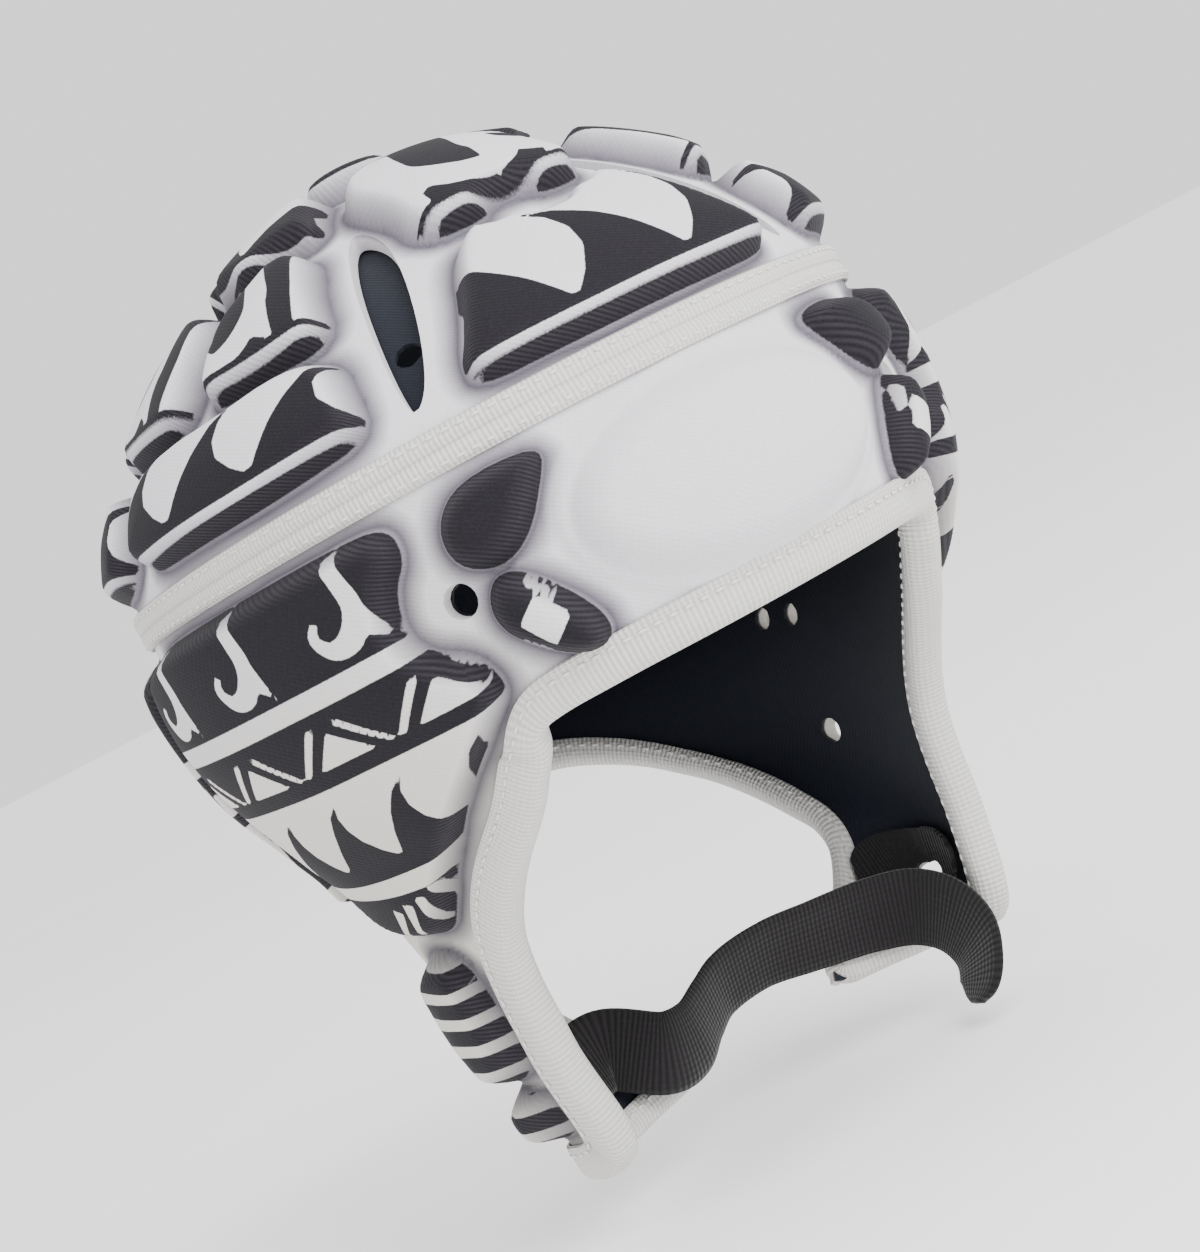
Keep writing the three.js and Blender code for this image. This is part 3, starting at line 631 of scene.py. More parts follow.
def tooth_print(low, high, count):
    a0, b0, a1, b1 = *low, *high
    dark = [box(a0 - 4, a1 + 4, b0 - 4, b0 + 1.8), box(a0 - 4, a1 + 4, b0 + 3.2, b0 + 5.2)]
    dark += fins(a0 - 2, a1 + 2, b0 + 4.6, (b1 - b0) * 0.7, count)
    return -8, [("dark", dark)]


def hook_print(low, high, count):
    a0, b0, a1, b1 = *low, *high
    tall, wide = b1 - b0, a1 - a0
    dark = [np.array([(a0 + 0.14 * wide, b0 + 4), (a1 - 0.2 * wide, b0 + 4),
        (a1 - 0.04 * wide, b0 + 0.42 * tall),
                      (a1 - 0.2 * wide, b0 + 0.62 * tall), (a1 - 0.24 * wide, b1 + 4),
                      (a0 + 0.34 * wide, b1 + 4),
                      (a0 + 0.2 * wide, b0 + 0.5 * tall)])]
    light = []
    for k in range(count):
        light += hook(a0 + wide * (k + 0.5) / count, b1 - 0.1 * tall, 0.72 * tall)
    return -8, [("dark", dark), ("light", light),
        ("dark", [box(a0 - 4, a1 + 4, b0 - 4, b0 + 1.6), box(a0 - 4, a1 + 4, b0 + 3, b0 + 4.4)])]


def side_print(low, high):
    a0, a1 = low[0], high[0]
    light = []
    for k in range(3):
        light += hook(a0 + (a1 - a0) * (0.16 + 0.31 * k), -9, 17)
    light.append(box(a0 - 9, a1 + 9, -33, -29))
    light += triangle_row(a0 - 6, a1 + 8, -43.5, -35.5, 4)
    light.append(box(a0 - 9, a1 + 9, -67, -47))
    dark = fins(a0 + 6, a1 + 10, -67.5, 17, 5)
    arc = [stroke([(a0 - 4, -70.5), ((a0 + a1) / 2, -75.5), (a1 + 6, -72)], [4, 5.5, 4])]
    fan = [stroke([((a0 + a1) / 2 + 5 * k, -79 - abs(k)), ((a0 + a1) / 2 + 7 * k, -88 - abs(k))],
        [3.2, 1.4]) for k in (-3, -2, -1, 0, 1, 2, 3)]
    return 8, [("light", light), ("dark", dark), ("light", arc + fan)]


def band_print(low, high, step):
    a0, b0, a1, b1 = *low, *high
    light = [stroke([(a0 - 4, b - 1.5), ((a0 + a1) / 2, b + 1), (a1 + 4, b - 2)],
        [2.6, 3.4, 2.6]) for b in np.arange(b0 + 3, b1 + 2, step)]
    return 8, [("light", light)]


def pad_print(name, low, high):
    """Ground of a pad's print in millimetres inside the dark, and the shapes laid on it in turn."""
    if name in ("front_pad", "side_pad_top", "rear_pad_top", "back_pad"):
        return tooth_print(low, high, 3)
    if name in ("hook_pad", "rear_hook_pad", "rear_pad_upper"):
        return hook_print(low, high, 1)
    if name in ("crown_pad", "back_pad_upper"):
        return hook_print(low, high, 2)
    if name in ("side_pad", "rear_pad", "nape_pad"):
        return side_print(low, high)
    if name in ("ridge_pad", "ridge_pad_rear"):
        return tooth_print(low, high, 2)
    if name in ("cheek_pad_upper", "cheek_pad_lower"):
        return band_print(low, high, 7.5)
    if name == "temple_pad_upper":
        return 8, []
    if name == "temple_pad_lower":
        a, b = (low + high) / 2
        w, h = (high - low) / 2
        light = [np.array([(a - 0.55 * w, b - 0.1 * h), (a - 0.1 * w, b + 0.45 * h),
            (a + 0.5 * w, b + 0.1 * h), (a + 0.1 * w, b - 0.5 * h)]),
                 np.array([(a - 0.5 * w, b + 0.25 * h), (a - 0.1 * w, b + 0.85 * h),
                     (a + 0.05 * w, b + 0.7 * h), (a - 0.3 * w, b + 0.3 * h)]),
                 np.array([(a + 0.3 * w, b - 0.55 * h), (a + 0.75 * w, b - 0.15 * h),
                     (a + 0.7 * w, b - 0.35 * h), (a + 0.4 * w, b - 0.65 * h)])]
        return 8, [("light", light)]
    return -8, []


def dress(phi, level, above):
    """Height, distance inside the nearest pad, print and pad share at each place of a cover."""
    height = np.zeros(len(phi))
    edge = np.full(len(phi), -12.0)
    ink = np.full(len(phi), -8.0)
    oval = np.zeros(len(phi))
    for name, side, chart, outline in pad_outlines():
        if (outline[:, 1].max() > 0.5) != above:
            continue
        places = chart.places(side * phi, level)
        d = inside_distance(places, outline)
        on = d > -11.9
        height[on] += pad_height(name, d[on])
        if name == "brow_oval":
            oval[on] = np.clip((d[on] + 5) / 3, 0, 1)
            continue
        edge = np.maximum(edge, d)
        ground, layers = pad_print(name, outline.min(0), outline.max(0))
        here = np.full(on.sum(), float(ground))
        for kind, shapes in layers:
            for shape in shapes:
                inside = inside_distance(places[on], shape, 8.0)
                here = np.maximum(here, inside) if kind == "dark" else np.minimum(here, -inside)
        ink[on] = np.maximum(ink[on], np.minimum(here, d[on] + 0.6))
    if above:
        points = surface(phi, level)[:, :2]
        turn = np.linspace(0, 2 * np.pi, 48, endpoint=False)
        stretch = 1 - (1 - TOP_PAD_STRETCH) * np.cos(turn) ** 2
        outline = surface(np.degrees(turn), 1 - (1 - TOP_PAD_LEVEL) * stretch)[:, :2]
        d = np.where(level > 0.6, inside_distance(points, outline), -12.0)
        height += np.where(d > -11.9, pad_height("top_pad", d), 0)
        edge = np.maximum(edge, d)
        ring = np.minimum(d - 2.4, 5.0 - d)
        ink = np.maximum(ink, np.where(d > -2, ring, -8))
    return height, edge, ink, oval


# Making Blender objects

def make_object(name, points, faces, material, attributes=(), uv=None, sharp=55):
    """A mesh object at the origin from points in millimetres, with the seam at height 0."""
    points = np.asarray(points, float) - np.array([0, 0, RAISED])
    mesh = bpy.data.meshes.new(name)
    faces = np.asarray(faces)
    mesh.vertices.add(len(points))
    mesh.vertices.foreach_set("co", (points * MM).astype(np.float32).ravel())
    mesh.loops.add(faces.size)
    mesh.loops.foreach_set("vertex_index", faces.astype(np.int32).ravel())
    mesh.polygons.add(len(faces))
    mesh.polygons.foreach_set("loop_start", np.arange(0, faces.size, faces.shape[1], dtype=np.int32))
    mesh.update(calc_edges=True)
    mesh.validate()
    for key, values in dict(attributes).items():
        mesh.attributes.new(key, "FLOAT", "POINT").data.foreach_set("value", np.asarray(values, np.float32))
    if uv is not None:
        uv = np.asarray(uv, np.float32)
        corners = uv if len(uv) == faces.size else uv[faces.ravel()]
        mesh.uv_layers.new(name="cloth").data.foreach_set("uv", corners.ravel())
    mesh.shade_smooth()
    mesh.set_sharp_from_angle(angle=math.radians(sharp))
    mesh.materials.append(material)
    made = bpy.data.objects.new(name, mesh)
    bpy.context.scene.collection.objects.link(made)
    return made


def cloth_uv(phi, level, faces):
    """Millimetres round and up for each corner, in strips chosen by face so that no face spans two."""
    phi, level = np.tile(phi, 2), np.tile(level, 2)
    strip = np.repeat(np.round(phi[faces[:, 0]] / 30) * 30, faces.shape[1])
    phi, level = phi[faces.ravel()], level[faces.ravel()]
    points = surface(phi, level)
    turn = (phi - strip + 180) % 360 - 180
    return np.stack([np.radians(turn) * np.hypot(points[:, 0], points[:, 1]),
        points[:, 2] + np.clip(level, 0, 1) * 60], axis=1)


def cover_points(phi, level, above):
    height, edge, ink, oval = dress(phi, level, above)
    base = ripple(surface(phi, level)) * np.clip(1 - np.abs(level) / 2, 0, 1) * (1 - oval)
    inset = from_edge(phi, level) if not above else np.full(len(phi), 50.0)
    base -= 0.5 * np.clip(1 - inset / 3, 0, 1)
    return lifted(phi, level, height + base), edge, ink, oval


def make_cover(name, phi, level, triangles, above, material):
    high, edge, ink, oval = cover_points(phi, level, above)
    low = lifted(phi, level, np.full(len(phi), -SHELL + 0.2))
    points, faces = closed_sheet(high, low, triangles)
    twice = lambda values, inner: np.concatenate([values, np.full(len(values), inner)])
    # The last attribute is the share of a darker, warmer tone painted down the lower sides and back for
    # reflected light and shade
    attributes = {"ink": twice(ink, -8), "edge": twice(edge, -12), "oval": twice(oval, 0),
                  "side_reflect_and_shade": np.tile(np.clip(-level * 2.2 + 0.1, 0, 1)
                      * np.clip((np.abs(phi) - 25) / 30, 0, 1), 2)}
    return make_object(name, points, faces, material, attributes, cloth_uv(phi, level, faces))


def thin_sheet(name, phi, level, triangles, low, high, material):
    points, faces = closed_sheet(lifted(phi, level, np.full(len(phi), high)),
        lifted(phi, level, np.full(len(phi), low)), triangles)
    return make_object(name, points, faces, material, uv=cloth_uv(phi, level, faces))


def along_edge(spacing):
    """Places along the whole lower edge, evenly spaced."""
    grid = ring_grid(even_levels(-0.25, -1.07, 2.5), 2.5)
    phi, level, triangles = cut_sheet(*grid, from_edge)
    loop = max((run for run in rim_loops(triangles) if level[run].min() < -0.3), key=len)
    phi, level = np.unwrap(phi[loop], period=360), level[loop]
    phi, level = np.append(phi, phi[0] + 360 * round((phi[-1] - phi[0]) / 360)), np.append(level, level[0])
    points = surface(phi, level)
    length = np.concatenate([[0], np.cumsum(np.linalg.norm(np.diff(points, axis=0), axis=1))])
    at = np.linspace(0, length[-1], int(length[-1] / spacing) + 1)[:-1]
    return np.interp(at, length, phi), np.interp(at, length, level), length[-1]


def inward(phi, level, distance):
    """Places moved in from the edge, square to it along the surface."""
    slope_phi = (from_edge(phi + 0.4, level) - from_edge(phi - 0.4, level)) / 0.8
    slope_level = (from_edge(phi, level + 0.004) - from_edge(phi, level - 0.004)) / 0.008
    by_phi = (surface(phi + 0.4, level) - surface(phi - 0.4, level)) / 0.8
    by_level = (surface(phi, level + 0.004) - surface(phi, level - 0.004)) / 0.008
    e, f, g = (by_phi**2).sum(1), (by_phi * by_level).sum(1), (by_level**2).sum(1)
    area = e * g - f * f
    up_phi = (g * slope_phi - f * slope_level) / area
    up_level = (e * slope_level - f * slope_phi) / area
    size = np.sqrt(np.maximum(up_phi * slope_phi + up_level * slope_level, 1e-9))
    return phi + distance * up_phi / size, level + distance * up_level / size


def evened(values, times):
    """Values round a loop, each drawn towards its neighbours."""
    turn = values[-1] + (values[-1] - values[-2]) - values[0]
    turn = 360 * round(turn / 360)
    for _ in range(times):
        before = np.concatenate([[values[-1] - turn], values[:-1]])
        after = np.concatenate([values[1:], [values[0] + turn]])
        values = 0.5 * values + 0.25 * (before + after)
    return values


def edge_rows(insets, spacing):
    """Places along the edge at each inset, from the furthest out to the furthest in."""
    phi, level, length = along_edge(spacing)
    phi, level = evened(phi, 3), evened(level, 3)
    rows = {}
    for way in (1, -1):
        p, l, at = phi.copy(), level.copy(), 0.0
        for inset in sorted((x for x in insets if x * way >= 0), key=abs):
            while abs(inset - at) > 1e-6:
                step = np.clip(inset - at, -0.7, 0.7)
                p, l = inward(p, l, step)
                p, l = evened(p, 1), evened(l, 1)
                at += step
            rows[inset] = (p.copy(), l.copy())
    return rows, length


BINDING_SECTION = [
    (8.6, 0.35), (8.5, 1.15), (7.6, 1.45), (6.4, 1.2), (5.2, 1.55), (3.2, 1.75), (1.4, 1.75), (0.2, 1.3),
    (-0.9, 0.2),
    (-1.35, -1.6), (-1.35, -3.6), (-0.9, -5.4), (0.2, -6.4), (1.6, -6.75), (3.4, -6.7), (4.8, -6.5),
    (5.3, -6.0), (5.1, -5.6),
    (2.4, -5.55), (0.5, -5.4), (-0.3, -4.2), (-0.3, -1.2), (0.5, 0.25), (3.5, 0.32),
]


def make_binding(material):
    rows, length = edge_rows(sorted({inset for inset, _ in BINDING_SECTION}), 1.3)
    columns = [lifted(*rows[inset], np.full(len(rows[inset][0]), lift)) for inset, lift in BINDING_SECTION]
    points, faces, uv = closed_tube(columns, length / len(columns[0]), 2.0)
    return make_object("edge_binding_elastic", points, faces, material, uv=uv)


def closed_tube(columns, along, across):
    """A tube closed both ways from the columns of its section, with a map for each corner in millimetres."""
    count, sides = len(columns[0]), len(columns)
    points = np.stack(columns, 1).reshape(-1, 3)
    i, j = np.meshgrid(np.arange(count), np.arange(sides), indexing="ij")
    i = np.stack([i, i + 1, i + 1, i], -1).reshape(-1, 4)
    j = np.stack([j, j, j + 1, j + 1], -1).reshape(-1, 4)
    faces = (i % count) * sides + j % sides
    turned = outward_faces(points, faces)
    if turned is not faces:
        i, j = i[:, ::-1], j[:, ::-1]
    return points, turned, np.stack([i.ravel() * along, j.ravel() * across], 1)


def outward_faces(points, faces):
    """The faces of a closed mesh, turned over where its volume comes out negative."""
    a, b, c = points[faces[:, 0]], points[faces[:, 1]], points[faces[:, 2]]
    volume = np.einsum("ij,ij->i", a, np.cross(b, c)).sum()
    if faces.shape[1] == 4:
        volume += np.einsum("ij,ij->i", a, np.cross(c, points[faces[:, 3]])).sum()
    return faces if volume > 0 else faces[:, ::-1]


TAPE_SECTION = [(2.6, 0.25), (2.7, 0.9), (2.2, 1.45), (1.2, 1.3), (0.3, 1.55), (-0.9, 1.45), (-1.4, 1.05),
    (-1.9, 1.4),
                (-3.2, 1.55), (-4.5, 1.4), (-5.2, 0.9), (-5.2, 0.25)]


def ring_of(section, spacing):
    """A closed ribbon right round the cap: its section is (height from the seam, lift) pairs."""
    count = int(575 / spacing)
    phi = np.linspace(0, 360, count, endpoint=False)
    columns = []
    for height, lift in section:
        level = crown_level(height) if height > 0 else height / FLAP_DEPTH
        columns.append(lifted(phi, level, np.full(count, lift)))
    return closed_tube(columns, spacing, 1.2)


def strap_line():
    """Points along the middle of the strap, with the directions of its width and its thickness."""
    stations = [lifted(phi, level, lift) for phi, level, lift in STRAP_LIFT_OFF]
    turns = [0.0] * len(stations)
    for x, y, z, turn in STRAP_FREE:
        stations.append(np.array([x * HALF_WIDTH, y * FLAP_DEPTH, z * FLAP_DEPTH]))
        turns.append(turn)
    p = np.array(stations)
    p = np.vstack([2 * p[0] - p[1], p, 2 * p[-1] - p[-2]])
    each = 12
    middle, turned = [], []
    for k in range(1, len(p) - 2):
        q = p[k - 1 : k + 3]
        gap = np.maximum(np.linalg.norm(np.diff(q, axis=0), axis=1) ** 0.5, 1e-4)
        t = np.concatenate([[0], np.cumsum(gap)])
        last = k == len(p) - 3
        for share in np.linspace(0, 1, each + 1 if last else each, endpoint=last):
            x = t[1] + (t[2] - t[1]) * share
            a = [((t[m + 1] - x) * q[m] + (x - t[m]) * q[m + 1]) / (t[m + 1] - t[m]) for m in range(3)]
            b = [((t[m + 2] - x) * a[m] + (x - t[m]) * a[m + 1]) / (t[m + 2] - t[m]) for m in range(2)]
            middle.append(((t[2] - x) * b[0] + (x - t[1]) * b[1]) / (t[2] - t[1]))
            turned.append(turns[k - 1] + (turns[k] - turns[k - 1]) * share)
    middle = np.array(middle)
    ahead = unit(np.gradient(middle, axis=0))
    phi, level, _ = STRAP_LIFT_OFF[0]
    carried = surface(phi, level + 0.05) - surface(phi, level - 0.05)
    wide = []
    for run, turn in zip(ahead, turned):
        carried = unit(carried - run * (run @ carried))
        wide.append(Matrix.Rotation(math.radians(turn), 3, Vector(run)) @ Vector(carried))
    wide = np.array(wide)
    return middle, wide, np.cross(ahead, wide)


def make_strap(settings, material):
    middle, wide, thick = strap_line()
    step = np.linalg.norm(np.diff(middle, axis=0), axis=1)
    along = np.concatenate([[0], np.cumsum(step)])
    to_end = np.clip((along[-1] - along) / STRAP_END_ROUND, 0, 1)
    narrow = np.sqrt(np.maximum(0.05, 1 - (1 - to_end) ** 2))
    half, deep = settings.strap_width / MM / 2, settings.strap_thickness / MM / 2
    sides, count = 2 * STRAP_COLUMNS, len(middle)
    wide_share = np.concatenate([np.linspace(-1, 1, STRAP_COLUMNS), np.linspace(1, -1, STRAP_COLUMNS)])
    edge = np.sqrt(np.clip(1 - np.abs(wide_share) ** 8, 0, 1))
    deep_share = np.concatenate([edge[:STRAP_COLUMNS], -edge[STRAP_COLUMNS:]])
    deep_share = np.where(np.abs(wide_share) > 0.999,
        np.where(np.arange(sides) < STRAP_COLUMNS, 0.35, -0.35), deep_share)
    points = []
    for k in range(len(middle)):
        bow = 0.5 * (1 - wide_share**2) * math.sin(along[k] / 19)
        points.append(middle[k] + np.outer(wide_share * half * narrow[k], wide[k])
            + np.outer(deep_share * deep + bow, thick[k]))
    points = np.vstack(points)
    i, j = np.meshgrid(np.arange(count - 1), np.arange(sides), indexing="ij")
    across = (j + 1) % sides
    quads = np.stack([i * sides + j, (i + 1) * sides + j, (i + 1) * sides + across, i * sides + across],
        -1).reshape(-1, 4)
    faces = np.vstack([quads[:, [0, 1, 2]], quads[:, [0, 2, 3]]])
    caps = []
    for base, turn in ((0, 1), ((count - 1) * sides, -1)):
        for k in range(STRAP_COLUMNS - 1):
            quad = [base + k, base + k + 1, base + sides - 2 - k, base + sides - 1 - k][::turn]
            caps += [(quad[0], quad[1], quad[2]), (quad[0], quad[2], quad[3])]
    faces = np.vstack([faces, np.array(caps)])
    uv = np.stack([np.repeat(along, sides), np.tile(wide_share * half, count)], 1)
    return make_object("chin_strap_webbing", points, outward_faces(points, faces), material, uv=uv,
        sharp=70), along[-1]


# Stitches laid along a line by Geometry Nodes

def stitch_tree(material):
    """A tree that lays stitches along the input's edges."""
    tree = bpy.data.node_groups.new("stitches", "GeometryNodeTree")
    face = tree.interface
    face.new_socket("Geometry", in_out="INPUT", socket_type="NodeSocketGeometry")
    for name, value in (("Pitch", 0.0032), ("Length", 0.0011), ("Width", 0.00032)):
        socket = face.new_socket(name, in_out="INPUT", socket_type="NodeSocketFloat")
        socket.default_value = value
        socket.subtype = "DISTANCE"
    face.new_socket("Geometry", in_out="OUTPUT", socket_type="NodeSocketGeometry")
    node = tree.nodes.new
    start, end = node("NodeGroupInput"), node("NodeGroupOutput")
    curve = node("GeometryNodeMeshToCurve")
    even = node("GeometryNodeResampleCurve")
    points = node("GeometryNodeInstanceOnPoints")
    even.mode = "LENGTH"
    ball = node("GeometryNodeMeshUVSphere")
    shape = node("GeometryNodeTransform")
    size = node("ShaderNodeCombineXYZ")
    ball.inputs["Segments"].default_value = 6
    ball.inputs["Rings"].default_value = 4
    ball.inputs["Radius"].default_value = 1.0
    tangent, turn = node("GeometryNodeInputTangent"), node("FunctionNodeAlignRotationToVector")
    turn.axis = "X"
    real, finish = node("GeometryNodeRealizeInstances"), node("GeometryNodeSetMaterial")
    finish.inputs["Material"].default_value = material
    link = tree.links.new
    link(start.outputs["Geometry"], curve.inputs[0])
    link(curve.outputs[0], even.inputs["Curve"])
    link(start.outputs["Pitch"], even.inputs["Length"])
    link(start.outputs["Length"], size.inputs[0])
    link(start.outputs["Width"], size.inputs[1])
    link(start.outputs["Width"], size.inputs[2])
    link(ball.outputs["Mesh"], shape.inputs["Geometry"])
    link(size.outputs[0], shape.inputs["Scale"])
    link(even.outputs[0], points.inputs["Points"])
    link(shape.outputs[0], points.inputs["Instance"])
    link(tangent.outputs[0], turn.inputs["Vector"])
    link(turn.outputs[0], points.inputs["Rotation"])
    link(points.outputs[0], real.inputs[0])
    link(real.outputs[0], finish.inputs["Geometry"])
    link(finish.outputs[0], end.inputs[0])
    return tree


def make_stitches(name, lines, tree, pitch, material):
    """Stitches along closed or open lines of points in millimetres, as one plain mesh."""
    mesh = bpy.data.meshes.new(name + "_line")
    points, edges = [], []
    for line, closed in lines:
        first = len(points)
        points += [tuple((p - np.array([0, 0, RAISED])) * MM) for p in line]
        edges += [(first + k, first + k + 1) for k in range(len(line) - 1)]
        if closed:
            edges.append((len(points) - 1, first))
    mesh.from_pydata(points, edges, [])
    line = bpy.data.objects.new(name + "_line", mesh)
    bpy.context.scene.collection.objects.link(line)
    modifier = line.modifiers.new("stitches", "NODES")
    modifier.node_group = tree
    for item in tree.interface.items_tree:
        if item.item_type == "SOCKET" and item.in_out == "INPUT" and item.name == "Pitch":
            modifier[item.identifier] = pitch
    depsgraph = bpy.context.evaluated_depsgraph_get()
    plain = bpy.data.meshes.new_from_object(line.evaluated_get(depsgraph))
    line.modifiers.remove(modifier)
    bpy.data.objects.remove(line)
    plain.name = name
    plain.materials.clear()
    plain.materials.append(material)
    plain.shade_smooth()
    made = bpy.data.objects.new(name, plain)
    bpy.context.scene.collection.objects.link(made)
    return made


# Materials

class Value:
    """A socket that takes part in sums, so that maths on it reads as maths."""

    def __init__(self, tree, socket):
        self.tree, self.socket = tree, socket

    def _math(self, operation, first, second=None):
        node = self.tree.nodes.new("ShaderNodeMath")
        node.operation = operation
        for slot, value in enumerate((first, second)):
            if isinstance(value, Value):
                self.tree.links.new(value.socket, node.inputs[slot])
            elif value is not None:
                node.inputs[slot].default_value = value
        return Value(self.tree, node.outputs[0])

    def __add__(self, other):
        return self._math("ADD", self, other)

    def __radd__(self, other):
        return self._math("ADD", other, self)

    def __sub__(self, other):
        return self._math("SUBTRACT", self, other)

    def __rsub__(self, other):
        return self._math("SUBTRACT", other, self)

    def __mul__(self, other):
        return self._math("MULTIPLY", self, other)

    def __rmul__(self, other):
        return self._math("MULTIPLY", other, self)

    def __truediv__(self, other):
        return self._math("DIVIDE", self, other)

    def power(self, other):
        return self._math("POWER", self, other)

    def sine(self):
        return self._math("SINE", self)

    def size(self):
        return self._math("ABSOLUTE", self)

    def clamped(self):
        return self._math("MAXIMUM", self._math("MINIMUM", self, 1.0), 0.0)


class Finish:
    """One material and the nodes that make it."""

    def __init__(self, name, roughness, sheen=0.0):
        self.material = bpy.data.materials.new(name)
        self.material.use_nodes = True
        self.tree = self.material.node_tree
        self.shader = self.tree.nodes["Principled BSDF"]
        self.shader.inputs["Roughness"].default_value = roughness
        self.shader.inputs["Sheen Weight"].default_value = sheen
        self.shader.inputs["Specular IOR Level"].default_value = 0.15

    def node(self, kind, settings=None, inputs=None):
        made = self.tree.nodes.new(kind)
        for key, value in (settings or {}).items():
            setattr(made, key, value)
        for key, value in (inputs or {}).items():
            if isinstance(value, Value):
                self.tree.links.new(value.socket, made.inputs[key])
            else:
                made.inputs[key].default_value = value
        return made

    def value(self, node, output=0):
        return Value(self.tree, node.outputs[output])

    def attribute(self, name):
        return self.value(self.node("ShaderNodeAttribute", {"attribute_name": name}), "Fac")

    def cloth(self):
        """Millimetres round and up on the piece's own map."""
        uv = self.node("ShaderNodeUVMap", {"uv_map": "cloth"})
        parts = self.node("ShaderNodeSeparateXYZ", inputs={0: self.value(uv)})
        return self.value(parts, 0), self.value(parts, 1)

    def noise(self, scale, detail=3.0):
        place = self.node("ShaderNodeTexCoord")
        made = self.node("ShaderNodeTexNoise",
            inputs={"Vector": self.value(place, "Object"), "Scale": scale, "Detail": detail})
        return self.value(made, "Fac")

    def mix(self, share, first, second):
        made = self.node("ShaderNodeMix", {"data_type": "RGBA"}, {0: share, 6: first, 7: second})
        return Value(self.tree, made.outputs[2])

    def colour(self, value):
        self.tree.links.new(value.socket, self.shader.inputs["Base Color"])

    def bump(self, height, distance, strength=1.0):
        made = self.node("ShaderNodeBump",
            inputs={"Height": height, "Distance": distance, "Strength": strength})
        self.tree.links.new(made.outputs[0], self.shader.inputs["Normal"])

    def rough(self, value):
        self.tree.links.new(value.socket, self.shader.inputs["Roughness"])


def opaque(colour):
    return (*colour[:3], 1.0)


def knit_material(settings):
    """White knit with the dark print, a shade painted round the foot of every pad, and a darker, warmer tone
    painted down the lower sides for reflected light and shade.
    """
    f = Finish("knit_print", 0.8, 0.03)
    a, b = f.cloth()
    ink, edge, oval, side_reflect_and_shade = (f.attribute(name) for name in ("ink", "edge", "oval", "side_reflect_and_shade"))
    rib = ((a * 0.55 + b * 0.85) * (2 * math.pi / settings.knit_pitch * MM)).sine()
    cross = ((a * 0.85 - b * 0.55) * (2 * math.pi / settings.knit_pitch * MM * 0.7)).sine()
    speck = f.noise(2600, 2)
    cloud = f.noise(38, 2)
    wall = (1 - ((edge - 1.2) / 3.2).size()).clamped()
    printed = ((ink + (speck - 0.5) * 0.25) * 5 + 0.5).clamped()
    # Painted shade: a dark band round the foot of every pad, where shade falls in the valley beside it
    painted_pad_shade = (1 - ((edge + 1.3 + (cloud - 0.5) * 2.0) / 4.6).size()).clamped().power(0.9) * (1 - oval)
    # Painted reflected light and shade: the knit turns darker and warmer down the lower sides and the back
    white = f.mix(side_reflect_and_shade, opaque(settings.white), opaque(settings.side_reflect_and_shade))
    white = f.mix((speck - 0.35).clamped() * 0.5 + rib * 0.04 + 0.04, white, (0.33, 0.32, 0.33, 1))
    shaded = f.mix(painted_pad_shade * 0.9, white, opaque(settings.shadow))
    dark = f.mix((speck - 0.45).clamped() * 0.08 + (rib * 0.5 + 0.5) * (wall * 0.06 + 0.01),
        opaque(settings.ink), (0.3, 0.27, 0.32, 1))
    f.colour(f.mix(printed, shaded, dark))
    f.rough(0.78 + rib * 0.04 + printed * 0.06)
    f.bump(rib * (0.35 + wall * 0.6) + cross * 0.2 + speck * 0.5, 0.00006, 0.8)
    return f.material


def ribbed_material(name, colour, dark, pitch, depth, sheen=0.1, slant=0.0, roughness=0.85):
    """Cloth ribbed across its length, such as tape, elastic or webbing."""
    f = Finish(name, roughness, sheen)
    a, b = f.cloth()
    rib = ((a + b * slant) * (2 * math.pi / pitch)).sine()
    weave = ((b * (2 * math.pi / (pitch * 1.3))).sine()) * 0.5
    speck = f.noise(2200, 3)
    f.colour(f.mix((rib * 0.22 + 0.22 + (speck - 0.5) * 0.4).clamped(), opaque(colour), opaque(dark)))
    f.rough(roughness - 0.05 + speck * 0.1)
    f.bump(rib + weave + speck * 0.6, depth, 0.9)
    return f.material


def lining_material(settings):
    f = Finish("lining_cloth", 0.62, 0.05)
    a, b = f.cloth()
    speck = f.noise(1800, 3)
    loops = ((a * 5.2).sine() * (b * 5.2).sine())
    f.colour(f.mix((speck * 0.6 + loops * 0.2).clamped(), opaque(settings.lining), (0.018, 0.021, 0.03, 1)))
    f.rough(0.58 + speck * 0.14)
    f.bump(loops + speck, 0.00004, 0.7)
    return f.material


def plain_finish(name, colour, roughness, scale):
    f = Finish(name, roughness)
    speck = f.noise(scale, 4)
    darker = tuple(0.9 * c for c in colour[:3])
    f.colour(f.mix(speck, opaque(colour), opaque(darker)))
    f.rough(roughness - 0.04 + speck * 0.08)
    return f.material


# Settings, one operator for each piece or group, and the panel that lists them

def both_sides(names):
    return [name + side for name in names for side in ("_left", "_right")]


CROWN_PADS = ["front_pad", "crown_pad", "back_pad", "back_pad_upper", "top_pad"] + both_sides(
    ["side_pad_top", "rear_pad_top", "hook_pad", "rear_hook_pad", "rear_pad_upper", "ridge_pad",
        "ridge_pad_rear"])
LOWER_PADS = ["brow_oval", "nape_pad"] + both_sides(
    ["temple_pad_upper", "temple_pad_lower", "side_pad", "cheek_pad_upper", "cheek_pad_lower", "rear_pad"])


def colour_setting(name, description, default):
    return bpy.props.FloatVectorProperty(name=name, description=description, subtype="COLOR", size=4,
        min=0, max=1, default=default)


def length_setting(name, description, default):
    return bpy.props.FloatProperty(name=name, description=description, default=default,
        subtype="DISTANCE", unit="LENGTH", precision=5)


